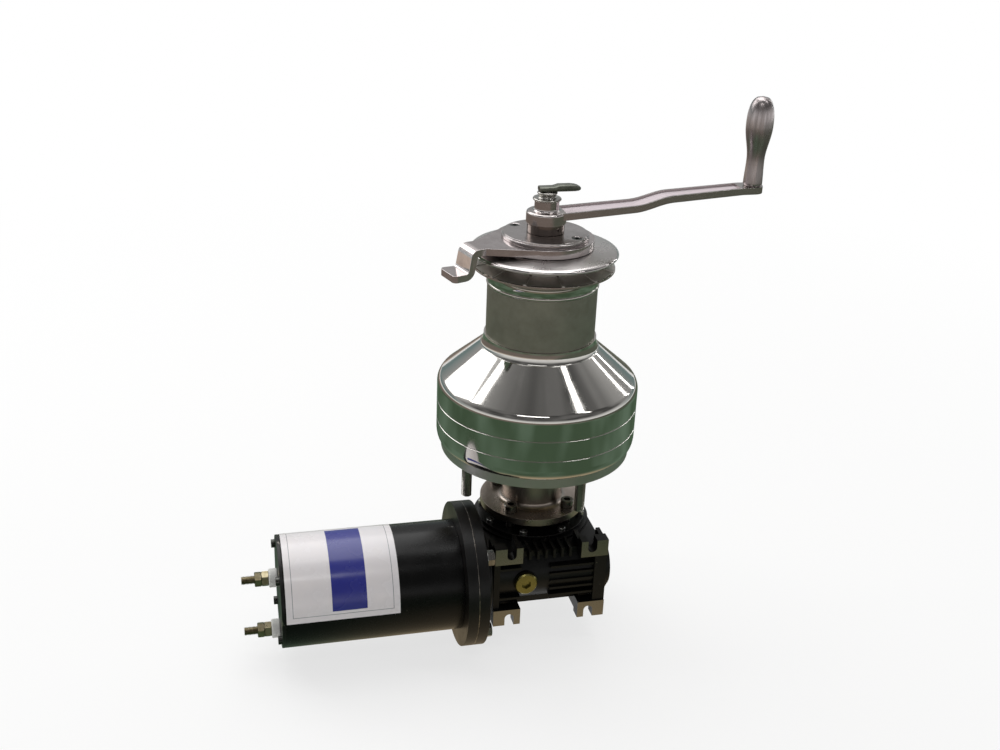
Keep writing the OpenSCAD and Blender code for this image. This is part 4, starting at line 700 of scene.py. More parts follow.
def threaded_rod(r: float, pitch: float, low: float, high: float, steps: int = 24) -> Mesh:
    """Makes a rod with a real helical thread.

    Args:
        r: Radius over the thread.
        pitch: Rise for each turn.
        low, high: Ends of the rod.
        steps: Segments in each turn.

    Returns:
        The rod's mesh, closed at both ends.
    """
    bm = bmesh.new()
    depth = 0.6 * pitch
    section = ((r - depth, 0.0), (r - depth, 0.1), (r, 0.46), (r, 0.6), (r - depth, 0.96), (r - depth, 1.0))
    turns = math.ceil((high - low) / pitch) + 2
    verts = [bm.verts.new((x * MM, 0.0, (low + (z - 1) * pitch) * MM)) for x, z in section]
    edges = [bm.edges.new(pair) for pair in zip(verts, verts[1:])]
    bmesh.ops.spin(bm, geom=verts + edges, cent=(0, 0, 0), axis=(0, 0, 1), dvec=(0, 0, pitch * MM / steps),
                   angle=math.tau * turns, steps=steps * turns, use_merge=False, use_duplicate=False)
    bmesh.ops.remove_doubles(bm, verts=bm.verts, dist=1e-5)
    for z, sign in ((low, -1), (high, 1)):
        bmesh.ops.bisect_plane(bm, geom=bm.verts[:] + bm.edges[:] + bm.faces[:], dist=1e-7,
                               plane_co=(0, 0, z * MM), plane_no=(0, 0, sign), clear_outer=True)
    bmesh.ops.holes_fill(bm, edges=[e for e in bm.edges if e.is_boundary], sides=0)
    return tidy(bm)


def loft(stations: list[tuple[float, float, float, float]], sides: int = 32) -> Mesh:
    """Makes a bar along X with rounded rectangles as its sections.

    Args:
        stations: Place along X, lower height, upper height and half width of each section.
        sides: Segments round each section.

    Returns:
        The bar's mesh, closed at both ends.
    """
    def onto(old: tuple[float, ...], new: tuple[float, ...]) -> Move:
        """Gives a move that sends a corner from one section to the next."""
        def move(co: Vector) -> Vector:
            """Keeps the corner's share of the section's width and height."""
            share = (co.z / MM - old[1]) / (old[2] - old[1])
            return Vector((new[0], co.y / MM * new[3] / old[3], new[1] + share * (new[2] - new[1]))) * MM
        return move

    bm = bmesh.new()
    bmesh.ops.create_circle(bm, cap_ends=False, segments=sides, radius=1.0)
    x, low, high, half = stations[0]
    for vert in bm.verts:
        y, z = (math.copysign(math.sqrt(abs(v)), v) for v in vert.co.xy)
        vert.co = Vector((x, half * y, (low + high + (high - low) * z) / 2)) * MM
    ring = bm.edges[:]
    bmesh.ops.edgeloop_fill(bm, edges=ring)
    for old, new in zip(stations, stations[1:]):
        ring = extend(bm, ring, onto(old, new))
    bmesh.ops.edgeloop_fill(bm, edges=ring)
    return tidy(bm)


def join(bm: Mesh, extra: Mesh, places: Iterable[Matrix]) -> Mesh:
    """Adds a copy of a second mesh at each place, and frees that mesh.

    Args:
        bm: Mesh that grows.
        extra: Mesh to copy.
        places: One matrix for each copy.

    Returns:
        The first mesh.
    """
    model = bpy.data.meshes.new("copy_source")
    extra.to_mesh(model)
    extra.free()
    for place in places:
        placed = model.copy()
        placed.transform(place)
        bm.from_mesh(placed)
        bpy.data.meshes.remove(placed)
    bpy.data.meshes.remove(model)
    return bm


def copies(bm: Mesh, places: Iterable[Matrix]) -> Mesh:
    """Gives one mesh with a copy of another at each place, and frees that one."""
    return join(bmesh.new(), bm, places)


def spot(x: float = 0.0, y: float = 0.0, z: float = 0.0) -> Matrix:
    """Gives the matrix that moves by millimetres."""
    return Matrix.Translation((x * MM, y * MM, z * MM))


def around(count: int, r: float, first: float, z: float) -> list[Matrix]:
    """Gives evenly spaced places on a circle round the drum's axis, the first at an angle in degrees."""
    turns = [math.radians(first + 360 * i / count) for i in range(count)]
    return [Matrix.Rotation(t, 4, "Z") @ spot(r, 0, z) for t in turns]


def on_motor(x: float) -> Matrix:
    """Gives the place on the motor's axis at x, with local +Z along +X."""
    return spot(x, MOTOR_Y, MOTOR_Z) @ Matrix.Rotation(math.pi / 2, 4, "Y")


def new_object(name: str, bm: Mesh, material: bpy.types.Material) -> bpy.types.Object:
    """Turns a mesh into an object at the origin.

    Args:
        name: Object's name.
        bm: Mesh, which is freed.
        material: Material of all its faces.

    Returns:
        The object, linked to the scene.
    """
    mesh = bpy.data.meshes.new(name)
    bm.to_mesh(mesh)
    bm.free()
    mesh.materials.append(material)
    obj = bpy.data.objects.new(name, mesh)
    bpy.context.scene.collection.objects.link(obj)
    return obj


def piece(name: str, bm: Mesh, finish: Finish, *nodes: str, sharp: float = 40.0) -> None:
    """Turns a mesh into a dressed piece that stands for CAD nodes and rides on their body.

    Args:
        name: Piece's name.
        bm: Mesh, which is freed.
        finish: Finish of the whole piece.
        nodes: CAD nodes that it stands for.
        sharp: Least angle of an edge that stays crisp, in degrees.
    """
    obj = new_object(name, bm, finish.material())
    obj.data.shade_smooth()
    obj.data.set_sharp_from_angle(angle=math.radians(sharp))
    level_shading(obj)
    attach(obj, BODY_OF[nodes[0]])
    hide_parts(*nodes)
    DRESSED.update(nodes)
    LOG.info("%s: %d faces, for %s", name, len(obj.data.polygons), ", ".join(nodes))


def modify(obj: bpy.types.Object, title: str, kind: str, **settings: Any) -> None:
    """Adds one modifier with its settings."""
    modifier = obj.modifiers.new(title, kind)
    for key, value in settings.items():
        setattr(modifier, key, value)


def level_shading(obj: bpy.types.Object) -> None:
    """Keeps wide faces flat to the light, so that only the narrow roundings between them shade."""
    modify(obj, "level_shading", "WEIGHTED_NORMAL", weight=80, keep_sharp=True)


def dress(node: str, finish: Finish, rounding: float = 0.0) -> None:
    """Gives a CAD node its finish, and small rounded edges where asked.

    Args:
        node: Node's name.
        finish: Finish of the whole node.
        rounding: Width of the rounding in mm.
    """
    obj = NODES[node]
    DRESSED.add(node)
    for place in obj.material_slots:
        place.material = finish.material()
    if rounding:
        modify(obj, "join_faces", "WELD", merge_threshold=MERGE)
        modify(obj, "clear_flats", "DECIMATE", decimate_type="DISSOLVE", angle_limit=math.radians(FLAT_ANGLE))
        modify(obj, "edge_rounding", "BEVEL", width=rounding * MM, segments=3, limit_method="ANGLE",
               angle_limit=math.radians(EDGE_ANGLE))
        level_shading(obj)
    LOG.info("%s: dressed in %s", node, finish.title)


@dataclass
class DeckBase:
    """Base plate, deck studs and their collars."""

    stud_r: float = 5.0
    stud_pitch: float = 1.5
    stud_overlap: float = 1.0
    shank_r: float = 4.75
    stud_pcd: float = 156.0
    stud_angle: float = 20.0
    stud_low: float = -37.0
    thread_top: float = -5.6
    shank_top: float = 5.5
    collar_r: float = 8.0
    collar_h: float = 5.0

    def build(self) -> None:
        """Builds and dresses the sub-assembly."""
        dress("base_plate", RIM_SATIN, rounding=0.5)
        places = around(4, self.stud_pcd / 2, self.stud_angle, 0)
        piece("deck_studs_threaded", copies(self.stud(), places), SATIN, "deck_studs")
        ring = tube(self.shank_r, self.collar_r, -self.collar_h, 0, 48)
        piece("stud_collars_turned", copies(soften(ring, 0.7), places), SATIN, "stud_collars")

    def stud(self) -> Mesh:
        """Makes one stud: a threaded rod with a plain shank."""
        bm = threaded_rod(self.stud_r, self.stud_pitch, self.stud_low, self.thread_top)
        shank = tube(0, self.shank_r, self.thread_top - self.stud_overlap, self.shank_top, 32)
        return join(bm, shank, [spot()])


@dataclass
class Drum:
    """Bell, rope barrel and the two self-tailing jaws."""

    bell_r: float = 97.0
    bell_low: float = 10.5
    edge_in: float = 3.0
    edge_h: float = 9.5
    wall: float = 3.8
    skirt_top: float = 66.86
    shoulder: float = 12.0
    tilt: float = 49.4
    cone_r: float = 57.0
    cove_in: float = 3.4
    cove_h: float = 11.3
    flange_t: float = 12.0
    line_z: Pair = (30.3, 50.3)
    line_w: float = 1.0
    line_depth: float = 0.7
    line_lip: float = 0.3
    line_taper: float = 0.1
    seat_in: float = 4.45
    barrel_low: float = 117.96
    barrel_top: float = 167.96
    barrel_r: float = 51.9
    bore_r: float = 44.6
    foot_r: float = 52.3
    foot_h: float = 3.5
    foot_bulge: Pair = (0.6, 1.2)
    foot_in: float = 2.0
    lower_r: float = 66.4
    lower_rim: float = 185.36
    rim_t: float = 1.6
    floor_r: float = 50.0
    floor_z: float = 190.96
    floor_top: float = 194.96
    upper_r: float = 68.9
    upper_rim: float = 198.96
    lip_r: float = 1.1
    brow: Pair = (5.5, 2.9)
    crown_r: float = 46.8
    crown_z: float = 205.16
    jaw_bore: float = 38.3
    rib_count: int = 12
    rib_w: float = 3.0
    rib_h: float = 1.3
    rib_in: float = 3.0
    rib_round: float = 0.55
    lower_inset: float = 0.1
    upper_inset: float = 3.5

    def build(self) -> None:
        """Builds and dresses the sub-assembly."""
        piece("bell_polished", self.bell(), POLISHED, "drum_bell", sharp=38)
        barrel = tube(self.bore_r, self.barrel_r, self.barrel_low, self.barrel_top, 160)
        piece("barrel_blasted", soften(barrel, 0.4), BLASTED, "drum_barrel")
        piece("lower_jaw_polished", self.lower_jaw(), JAW_POLISH, "lower_jaw")
        piece("upper_jaw_polished", self.upper_jaw(), CROWN_POLISH, "upper_jaw")

    def bell(self) -> Mesh:
        """Makes the bell: rounded foot, scribed skirt, shoulder, cone and cove."""
        mid = self.bell_r - self.shoulder
        lines: Profile = []
        half, lip, taper = self.line_w / 2, self.line_lip, self.line_taper
        floor = self.bell_r - self.line_depth
        for z in self.line_z:
            lines += [(self.bell_r, z - half - lip), (self.bell_r - lip, z - half), (floor, z - half + taper),
                      (floor, z + half - taper), (self.bell_r - lip, z + half), (self.bell_r, z + half + lip)]
        inner = self.shoulder - self.wall
        turn = math.radians(self.tilt)
        seat = self.barrel_low - self.flange_t
        seat_r = self.bore_r + self.seat_in
        inner_r = self.cone_r + (self.flange_t - self.cove_h) * math.tan(turn) - self.wall / math.cos(turn)
        section = (
            arc(self.bell_r - self.edge_in, self.bell_low + self.edge_h, self.edge_in, self.edge_h,
                -90, 0, 14)
            + lines
            + arc(mid, self.skirt_top, self.shoulder, self.shoulder, 0, self.tilt, 12)
            + arc(self.cone_r, self.barrel_low, -self.cove_in, -self.cove_h, 90, 0, 10)
            + [(seat_r, self.barrel_low), (seat_r, seat), (inner_r, seat)]
            + arc(mid, self.skirt_top, inner, inner, self.tilt, 0, 8)
            + [(self.bell_r - self.wall, self.bell_low)])
        return lathe(section, 192)

    def ribs(self, bm: Mesh, rim_r: float, rim_z: float, floor_z: float, inset: float) -> Mesh:
        """Adds the radial gripping ribs of one groove face.

        Args:
            bm: Jaw's mesh.
            rim_r, rim_z: Groove face's outer end.
            floor_z: Height of its inner end.
            inset: How far the ribs end inside the rim.

        Returns:
            The same mesh.
        """
        slope = (floor_z - rim_z) / (self.floor_r - rim_r)
        near, far = self.floor_r + self.rib_in, rim_r - inset
        size = (far - near, self.rib_w, 2 * self.rib_h)
        rib = bmesh.new()
        bmesh.ops.create_cube(rib, size=1.0, matrix=Matrix.Diagonal([v * MM for v in size] + [1]))
        for vert in rib.verts:
            vert.co += Vector(((near + far) / 2 * MM, 0, 0))
            vert.co.z += (rim_z + slope * (vert.co.x / MM - rim_r)) * MM
        return join(bm, soften(rib, self.rib_round, 2), around(self.rib_count, 0, 0, 0))

    def lower_jaw(self) -> Mesh:
        """Makes the lower jaw: foot, hollow flare, thin rim and ribbed groove face."""
        back, bulge = self.foot_bulge
        rim = self.lower_rim + self.rim_t
        section = (
            [(self.bore_r - self.foot_in, self.barrel_top)]
            + arc(self.foot_r - back, self.barrel_top + self.foot_h / 2, bulge, self.foot_h / 2, -90, 70, 8)
            + arc(self.lower_r, self.barrel_top + self.foot_h, -(self.lower_r - self.foot_r),
                  self.lower_rim - self.barrel_top - self.foot_h, 0, 90, 18)
            + [(self.lower_r, rim), (self.floor_r, self.floor_z),
               (self.jaw_bore, self.floor_z), (self.jaw_bore, self.barrel_top)])
        bm = soften(lathe(section, 160), 0.45, 2)
        return self.ribs(bm, self.lower_r, rim, self.floor_z, self.lower_inset)

    def upper_jaw(self) -> Mesh:
        """Makes the upper jaw: ribbed groove face, rim and domed crown."""
        section = (
            [(self.jaw_bore, self.floor_z), (self.floor_r, self.floor_z), (self.floor_r, self.floor_top)]
            + arc(self.upper_r - self.lip_r, self.upper_rim + self.lip_r, self.lip_r, self.lip_r, -75, 0, 6)
            + arc(self.upper_r - self.brow[0], self.upper_rim + self.lip_r, *self.brow, 6, 80, 12)
            + [(self.crown_r, self.crown_z), (self.jaw_bore, self.crown_z)])
        bm = soften(lathe(section, 160), 0.4, 2, 32)
        return self.ribs(bm, self.upper_r, self.upper_rim, self.floor_top, self.upper_inset)


@dataclass
class FeederCap:
    """Rope feeder, top cap and the cap's screws."""

    cap_top: float = 218.06
    screw_circle: float = 33.0
    screw_angle: float = -45.0
    screw_sink: float = 0.3
    screw: SocketScrew = SocketScrew(4.8, 0.0, 2.2, 2.2, 2.5, 18.0, flat=True)

    def build(self) -> None:
        """Builds and dresses the sub-assembly."""
        dress("feeder_arm", FEEDER_POLISH, rounding=1.2)
        dress("top_cap", BUFFED, rounding=0.45)
        places = around(2, self.screw_circle, self.screw_angle, self.cap_top - self.screw_sink)
        piece("cap_screws_flat", copies(self.screw.mesh(), places), DARK_STEEL, "cap_screws")
        dress("spindle", COLLAR_STEEL, rounding=0.4)


@dataclass
class CrankHandle:
    """Crank arm, grip and lock lever."""

    lever_low: float = 247.96
    lever_bar: float = 255.86
    lever_bore: float = 4.6
    lever_flange: tuple[Pair, ...] = ((12.5, 0.0), (13.1, 0.6), (13.1, 1.5), (12.5, 2.1))
    waist_arc: Triple = (9.8, 4.1, 2.0)
    head_arc: Triple = (7.8, 1.5, 1.2)
    lever_stations: tuple[tuple[float, float, float, float], ...] = (
        (-8.0, 0.4, 4.1, 4.9), (-7.4, 0.0, 4.6, 5.5), (5.0, 0.0, 4.7, 5.5), (7.5, 0.0, 5.3, 5.5),
        (10.0, 0.0, 6.2, 5.5), (21.0, 0.0, 6.2, 5.5), (25.5, 0.0, 5.7, 5.2), (28.5, 0.3, 4.7, 4.4),
        (30.3, 0.9, 3.7, 3.2), (31.0, 1.6, 2.8, 1.6))
    foot_r: float = 9.0
    waist_r: float = 8.25
    swell_r: float = 12.5
    waist: float = 0.29
    swell: float = 0.68
    dome: float = 2.6
    foot_edge: float = 0.8
    grip_steps: int = 60

    def build(self) -> None:
        """Builds and dresses the sub-assembly."""
        dress("crank_arm", ARM_CASTING, rounding=1.0)
        dress("drive_square", BUFFED, rounding=0.3)
        piece("lever_neck_turned", self.lever_neck(), SATIN, "lock_lever")
        piece("lever_bar_cast", self.lever(), PATINA, "lock_lever")
        piece("grip_drawn", self.grip(), DRAWN_GRIP, "crank_grip")

    def lever_neck(self) -> Mesh:
        """Makes the lever's turned neck: thin flange, waist and widening head."""
        low, high = self.lever_low, self.lever_bar
        waist_r, waist_z, hollow = self.waist_arc
        head_r, wide, tall = self.head_arc
        section = ([(self.lever_bore, low)] + [(r, low + z) for r, z in self.lever_flange]
                   + arc(waist_r, low + waist_z, -hollow, -hollow, 90, 10, 8)
                   + arc(head_r, high - tall, wide, tall, -60, 90, 8)
                   + [(self.lever_bore, high)])
        return lathe(section, 64)

    def lever(self) -> Mesh:
        """Makes the lever's bar: a low square tail, a thicker middle and a rounded nose."""
        z = self.lever_bar
        return loft([(x, z + low, z + high, half) for x, low, high, half in self.lever_stations])

    def grip(self) -> Mesh:
        """Makes the grip: a waisted pear with a domed end and a rounded foot."""
        low, high = (Vector(corner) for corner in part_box("crank_grip"))
        foot, length = low.z / MM, (high.z - low.z) / MM
        shares = [i / self.grip_steps for i in range(1, self.grip_steps + 1)]
        section: Profile = [(0.0, foot), (self.foot_r - self.foot_edge, foot)]
        section += [(self.radius(u), foot + max(u * length, self.foot_edge)) for u in shares]
        bm = lathe(section, 64, loop=False)
        bmesh.ops.translate(bm, vec=((low.x + high.x) / 2, 0, 0), verts=bm.verts)
        return bm

    def radius(self, u: float) -> float:
        """Gives the grip's radius at a share of its length."""
        if u < self.waist:
            ease = (1 - math.cos(math.pi * u / self.waist)) / 2
            return self.foot_r + (self.waist_r - self.foot_r) * ease
        if u < self.swell:
            ease = (1 - math.cos(math.pi * (u - self.waist) / (self.swell - self.waist))) / 2
            return self.waist_r + (self.swell_r - self.waist_r) * ease
        share = (u - self.swell) / (1 - self.swell)
        return self.swell_r * max(1 - share ** self.dome, 0.0) ** (1 / self.dome)


@dataclass
class NeckGearbox:
    """Neck, gearbox casting, its cover, plug and screws."""

    neck_seat: float = -58.7
    neck_circle: float = 41.0
    plug: Triple = (-24.2, -79.5, -109.4)
    plug_head: SocketScrew = SocketScrew(11.3, 4.0, 5.0, 2.7, 8.0, 7.0)
    neck_screw: SocketScrew = SocketScrew(6.5, 8.0, 3.6, 4.0, 4.0, 16.0)
    cover_screw: SocketScrew = SocketScrew(4.0, 4.0, 2.1, 2.2, 2.5, 8.0)
    cover_top: float = -75.4
    cover_circle: float = 50.0

    def build(self) -> None:
        """Builds and dresses the sub-assembly."""
        dress("neck", NECK_SATIN, rounding=0.7)
        places = around(4, self.neck_circle, 45, self.neck_seat)
        piece("neck_screws_socket", copies(self.neck_screw.mesh(), places), SCREW_STEEL, "neck_screws")
        dress("gear_housing", HOUSING_PAINT, rounding=0.7)
        dress("output_cover", COVER_PAINT, rounding=0.6)
        dress("worm_end_cap", COVER_PAINT, rounding=0.5)
        places = around(8, self.cover_circle, 22.5, self.cover_top)
        piece("cover_screws_socket", copies(self.cover_screw.mesh(), places), ZINC, "cover_screws")
        place = spot(*self.plug) @ Matrix.Rotation(math.pi / 2, 4, "X")
        piece("oil_plug_brass", copies(self.plug_head.mesh(), [place]), BRASS, "oil_plug")


@dataclass
class Motor:
    """Input flange, motor flange, shell, end cap, label, terminals and bolts."""

    x_input: float = -67.7
    x_motor: float = -88.5
    x_cap: float = -254.7
    x_end: float = -257.7
    shell_r: float = 53.1
    shell_in: float = 49.6
    bolt_circle: float = 57.5
    label_r: float = 53.2
    label_t: float = 0.3
    label_x: Pair = (-253.7, -149.7)
    label_turn: Pair = (62.0, 181.5)
    terminals: tuple[Pair, ...] = ((14.0, 6.0), (0.0, -42.0))
    terminal_r: float = 4.0
    terminal_x: float = -291.2
    terminal_in: float = 2.0
    terminal_pitch: float = 1.25
    insulator_r: Pair = (4.1, 9.0)
    insulator_t: float = 8.0
    nut_r: float = 7.5
    nut_h: float = 6.5
    nut_step: float = 6.6
    nut_turn: float = 0.3
    washer_r: float = 8.2
    washer_t: float = 1.6
    bolt_r: float = 7.5
    bolt_h: float = 6.6

    def build(self) -> None:
        """Builds and dresses the sub-assembly."""
        dress("input_flange", FLANGE_PAINT, rounding=0.8)
        dress("motor_flange", FLANGE_PAINT, rounding=0.8)
        shell = tube(self.shell_in, self.shell_r, 0, self.x_motor - self.x_cap, 128)
        shell = copies(soften(shell, 0.3), [on_motor(self.x_cap)])
        piece("motor_shell_tube", shell, SHELL_PAINT, "motor_shell")
        dress("motor_end_cap", COVER_PAINT, rounding=0.5)
        self.label()
        self.power_terminals()
        places = [on_motor(self.x_input) @ place for place in around(4, self.bolt_circle, 45, 0)]
        washer = soften(tube(0, self.washer_r, 0, self.washer_t, 32), 0.3, 2)
        piece("flange_washers", copies(washer, places), ZINC, "flange_bolts")
        bolt = hex_block(self.bolt_r, self.bolt_h, foot_cut=False)
        tops = [place @ spot(z=self.washer_t) for place in places]
        piece("flange_bolt_heads", copies(bolt, tops), SCREW_STEEL, "flange_bolts")

    def label(self) -> None:
        """Makes the label as a thin bent sheet with its own UV map."""
        bm = bmesh.new()
        start, end = (math.radians(t) for t in self.label_turn)
        axis = Vector((0, MOTOR_Y * MM, MOTOR_Z * MM))
        first = [bm.verts.new((x * MM, (MOTOR_Y + self.label_r * math.cos(start)) * MM,
                               (MOTOR_Z + self.label_r * math.sin(start)) * MM)) for x in self.label_x]
        edge = bm.edges.new(first)
        bmesh.ops.spin(bm, geom=first + [edge], cent=axis, axis=(1, 0, 0), dvec=(0, 0, 0), angle=end - start,
                       steps=72, use_merge=False, use_duplicate=False)
        bmesh.ops.recalc_face_normals(bm, faces=bm.faces)
        for face in bm.faces:
            middle = face.calc_center_median() - axis
            if face.normal.dot(Vector((0, middle.y, middle.z))) < 0:
                face.normal_flip()
        bmesh.ops.solidify(bm, geom=bm.faces[:], thickness=-self.label_t * MM)
        layer = bm.loops.layers.uv.new("sheet")
        width = self.label_x[1] - self.label_x[0]
        for face in bm.faces:
            for loop in face.loops:
                co = loop.vert.co - axis
                turn = math.atan2(co.z, co.y) % math.tau
                loop[layer].uv = ((co.x / MM - self.label_x[0]) / width, (end - turn) / (end - start))
        piece("label_sheet", bm, LABEL, "motor_label")

    def power_terminals(self) -> None:
        """Makes the threaded terminals, their nuts and their insulators."""
        spots = [on_motor(self.x_end) @ spot(-t[1], t[0], 0) for t in self.terminals]
        tip = self.terminal_x - self.x_end
        rod = threaded_rod(self.terminal_r, self.terminal_pitch, tip, self.terminal_in)
        piece("terminal_studs_threaded", copies(rod, spots), DULL_BRASS, "terminal_studs")
        ring = tube(*self.insulator_r, -self.insulator_t, 0, 40)
        piece("insulators_moulded", copies(soften(ring, 1.0), spots), NYLON, "terminal_insulators")
        nut = hex_block(self.nut_r, self.nut_h, self.terminal_r)
        steps = [spot(z=-self.insulator_t - i * self.nut_step) @ Matrix.Rotation(self.nut_turn * i, 4, "Z")
                 for i in (1, 2)]
        places = [place @ step for place in spots for step in steps]
        piece("terminal_nuts_hex", copies(nut, places), DULL_BRASS, "terminal_nuts")


@dataclass
class InnerTrain:
    """Gears, shafts, bearings and windings inside, dressed by the record's slots."""

    def build(self, slots: dict[str, str]) -> None:
        """Dresses every node that has no finish or piece yet.

        Args:
            slots: The record's slot of each node.
        """
        for node, slot in slots.items():
            if node not in DRESSED:
                dress(node, SLOT_FINISH[slot])


@dataclass(frozen=True)
class Lamp:
    """Softbox that faces the object: its place and size in metres and its power in watts."""

    name: str
    place: Triple
    width: float
    height: float
    power: float
    target: Triple = (0.0, 0.0, 0.08)

    def hang(self) -> None:
        """Adds the lamp to the scene."""
        data = bpy.data.lights.new(self.name, "AREA")
        data.shape = "RECTANGLE"
        data.size = self.width
        data.size_y = self.height
        data.energy = self.power
        obj = bpy.data.objects.new(self.name, data)
        aim = Vector(self.target) - Vector(self.place)
        turn = aim.to_track_quat("-Z", "Y").to_matrix().to_4x4()
        obj.matrix_world = Matrix.Translation(self.place) @ turn
        bpy.context.scene.collection.objects.link(obj)


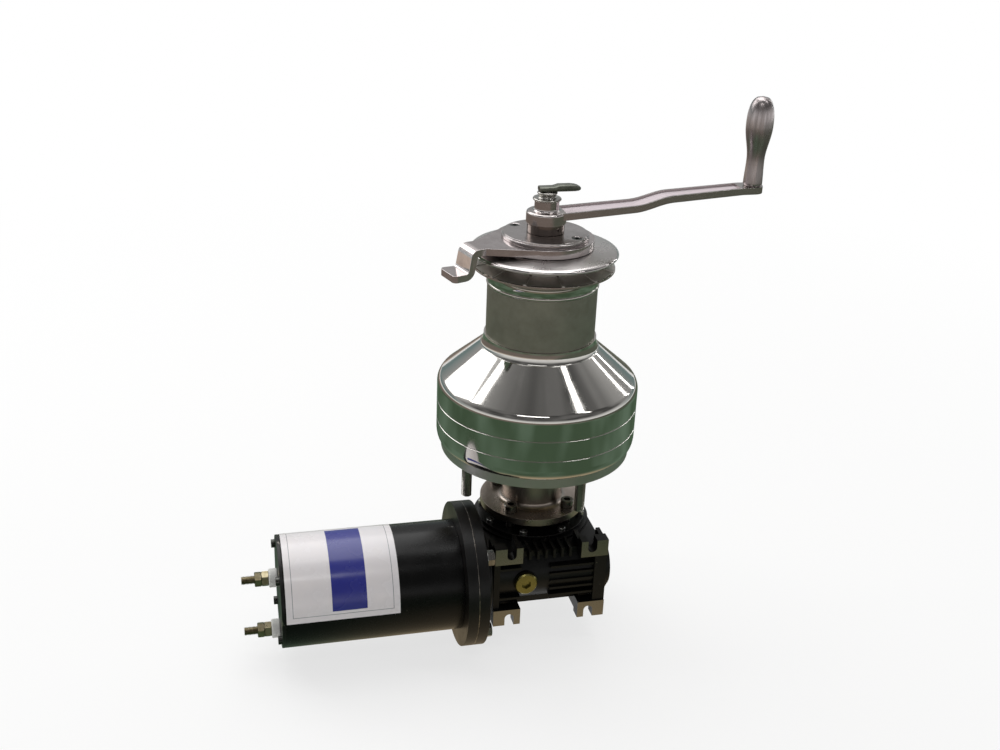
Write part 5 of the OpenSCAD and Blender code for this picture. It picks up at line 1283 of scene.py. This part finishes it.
@dataclass
class Studio:
    """Pale floor, soft lamps, world, camera, and a glowing ring of painted reflections."""

    focal: float = 1200.0
    picture: float = 1000.0
    sensor: float = 36.0
    azimuth: float = -14.3
    elevation: float = 24.23
    roll: float = 2.29
    eye: Triple = (-296.68, -1016.74, 548.11)
    floor_size: float = 30000.0
    floor_drop: float = 0.4
    # Radii and thickness of the glowing ring of painted reflections
    flag_r: Pair = (95.0, 3200.0)
    flag_t: float = 0.5
    lamps: tuple[Lamp, ...] = (
        Lamp("overhead_lamp", (0.1, 0.85, 2.3), 1.8, 2.7, 32.0),
        Lamp("front_spot", (-0.42, -1.22, 1.6), 1.0, 0.22, 2.6),
        Lamp("left_lamp", (-1.24, 1.28, 1.2), 1.2, 1.1, 9.0),
        Lamp("left_strip", (-1.18, 0.42, 1.77), 0.2, 0.9, 2.6),
        Lamp("right_strip", (0.92, -0.52, 1.88), 0.13, 1.1, 3.0),
        Lamp("side_strip", (1.75, 0.71, 0.98), 0.08, 0.8, 1.2),
        Lamp("rear_strip", (1.69, 1.1, 0.62), 0.07, 0.8, 1.0))

    def build(self, low: float) -> None:
        """Builds the set.

        Args:
            low: Height of the object's lowest point in metres.
        """
        bpy.context.scene.view_settings.view_transform = "Standard"
        self.camera()
        self.floor(low)
        self.lay_reflection_ring(low)
        self.world()
        for lamp in self.lamps:
            lamp.hang()

    def camera(self) -> None:
        """Sets the camera at the photograph's viewing angle."""
        a, e, r = (math.radians(v) for v in (self.azimuth, self.elevation, self.roll))
        back = Vector((math.sin(a) * math.cos(e), -math.cos(a) * math.cos(e), math.sin(e)))
        right = Vector((math.cos(a), math.sin(a), 0))
        up = back.cross(right)
        level = right * math.cos(r) + up * math.sin(r)
        rise = up * math.cos(r) - right * math.sin(r)
        data = bpy.data.cameras.new("photo_camera")
        data.sensor_fit = "HORIZONTAL"
        data.sensor_width = self.sensor
        data.lens = self.sensor * self.focal / self.picture
        data.clip_start = 0.01
        obj = bpy.data.objects.new("photo_camera", data)
        turn = Matrix((level, rise, back)).transposed().to_4x4()
        obj.matrix_world = Matrix.Translation(Vector(self.eye) * MM) @ turn
        bpy.context.scene.collection.objects.link(obj)
        bpy.context.scene.camera = obj

    def floor(self, low: float) -> None:
        """Lays the pale floor: white to the eye and in reflections, with the object's shadow on it."""
        bm = bmesh.new()
        bmesh.ops.create_grid(bm, x_segments=1, y_segments=1, size=self.floor_size / 2 * MM,
                              matrix=Matrix.Translation((0, 0, low - self.floor_drop * MM)))
        material = bpy.data.materials.new("pale_floor")
        add = empty_tree(material)
        path = add("LightPath")
        seen = add("Math", {
            0: path.outputs["Is Camera Ray"], 1: path.outputs["Is Glossy Ray"]}, operation="MAXIMUM")
        through = add("Math", {0: seen, 1: path.outputs["Is Transmission Ray"]}, operation="MAXIMUM")
        coord = add("TexCoord")
        reach = add("VectorMath", {0: coord.outputs["Object"]}, operation="LENGTH")
        clear = add("MapRange", {
            "Value": reach, "From Min": 0.2, "From Max": 1.7, "To Min": 0.72, "To Max": 1.0},
            interpolation_type="SMOOTHSTEP")
        share = add("Math", {0: through, 1: clear}, operation="MULTIPLY")
        matt = add("BsdfDiffuse", {"Color": linear("#f4f4f3")})
        glow = add("Emission", {"Color": (1, 1, 1, 1), "Strength": 1.0})
        mix = add("MixShader", {0: share, 1: matt, 2: glow})
        add("OutputMaterial", {"Surface": mix})
        new_object("studio_floor", bm, material)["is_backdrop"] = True

    def lay_reflection_ring(self, low: float) -> None:
        """Lays a glowing ring round the object that only reflections show: a painted reflection of tan floor
        close in, a mottled green mat, then brown and far beige floor, greyer to the right.
        """
        bm = tube(*self.flag_r, 0, self.flag_t, 64)
        bmesh.ops.translate(bm, vec=(0, 0, low), verts=bm.verts)
        material = bpy.data.materials.new("painted_reflection_sheet")
        add = empty_tree(material)
        coord = add("TexCoord")
        patch = add("TexNoise", {"Vector": coord.outputs["Object"], "Scale": 3.2, "Detail": 2.0})
        share = add("MapRange", {"Value": patch, "From Min": 0.38, "From Max": 0.62})
        # Painted reflection: a mottled green mat that glows rather than being lit
        mat_reflection = add("Mix", {0: share, 6: linear("#4e624d"), 7: linear("#6d8370")}, data_type="RGBA")
        reach = add("VectorMath", {0: coord.outputs["Object"]}, operation="LENGTH")
        split = add("SeparateXYZ", {0: coord.outputs["Object"]})
        out, beyond, right, far = (
            add("MapRange", {
                "Value": way, "From Min": start, "From Max": end}, interpolation_type="SMOOTHSTEP")
            for way, start, end in (
                (reach, 0.22, 0.33), (reach, 0.8, 1.05), (split.outputs[0], 0.3, 0.9), (reach, 1.8, 2.5)))
        # Painted reflection by distance and side: tan close in, green mat, brown then beige far out, dark
        # grey-green towards +X
        ground = add("Mix", {0: out, 6: linear("#c0ae90"), 7: mat_reflection}, data_type="RGBA")
        far_floor_reflection = add("Mix", {0: far, 6: linear("#80766f"), 7: linear("#cbbdae")}, data_type="RGBA")
        shade = add("Mix", {0: right, 6: far_floor_reflection, 7: linear("#62665b")}, data_type="RGBA")
        tone = add("Mix", {0: beyond, 6: ground, 7: shade}, data_type="RGBA")
        glow = add("Emission", {"Color": tone, "Strength": 1.0})
        add("OutputMaterial", {"Surface": glow})
        ring = new_object("painted_reflection_ring", bm, material)
        ring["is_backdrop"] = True
        # Only glossy rays see the ring, so it paints reflections and lights nothing
        for kind in ("camera", "diffuse", "shadow", "transmission"):
            setattr(ring, "visible_" + kind, False)

    def world(self) -> None:
        """Lights the set all round: white to the eye, with a pale front rim and a grey roof in the metal."""
        world = bpy.data.worlds.new("studio_world")
        bpy.context.scene.world = world
        add = empty_tree(world)
        coord = add("TexCoord")
        split = add("SeparateXYZ", {0: coord.outputs["Generated"]})
        patch = add("TexNoise", {"Vector": coord.outputs["Generated"], "Scale": 3.4, "Detail": 1.0})
        rear, roof, high, fade = (
            add("MapRange", {"Value": value, "From Min": a, "From Max": b, "To Min": c, "To Max": d})
            for value, (a, b), (c, d) in (
                (split.outputs[1], (-0.1, 0.5), (0.0, 1.0)), (patch, (0.35, 0.65), (0.08, 0.19)),
                (split.outputs[2], (0.34, 0.56), (0.0, 0.4)), (split.outputs[2], (0.06, 0.3), (0.0, 1.0))))
        rim = add("Mix", {0: rear, 6: (0.85, 0.85, 0.85, 1), 7: (0.2, 0.27, 0.27, 1)}, data_type="RGBA")
        lift = add("Math", {0: rear, 1: 0.28, 2: roof}, operation="MULTIPLY_ADD")
        back = add("Math", {0: rear, 1: high, 2: lift}, operation="MULTIPLY_ADD")
        tone = add("Mix", {0: fade, 6: rim, 7: back}, data_type="RGBA")
        path = add("LightPath")
        seen = add("Mix", {0: path.outputs["Is Camera Ray"], 6: tone, 7: (1, 1, 1, 1)}, data_type="RGBA")
        glow = add("Background", {"Color": seen, "Strength": 1.0})
        add("OutputWorld", {"Surface": glow})


def main() -> None:
    """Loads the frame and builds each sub-assembly in order."""
    logging.basicConfig(level=logging.INFO, format="%(name)s %(message)s")
    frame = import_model()
    cad_low, cad_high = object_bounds()
    NODES.update(frame["nodes"])
    for body, members in frame["record"]["behaviour"]["bodies"].items():
        BODY_OF.update({node: body for node in members})
    for part in (DeckBase(), Drum(), FeederCap(), CrankHandle(), NeckGearbox(), Motor()):
        part.build()
    InnerTrain().build({s["node"]: s["material_slot"] for s in frame["record"]["subparts"]})
    Studio().build(cad_low.z)


if __name__ == "__main__":
    main()
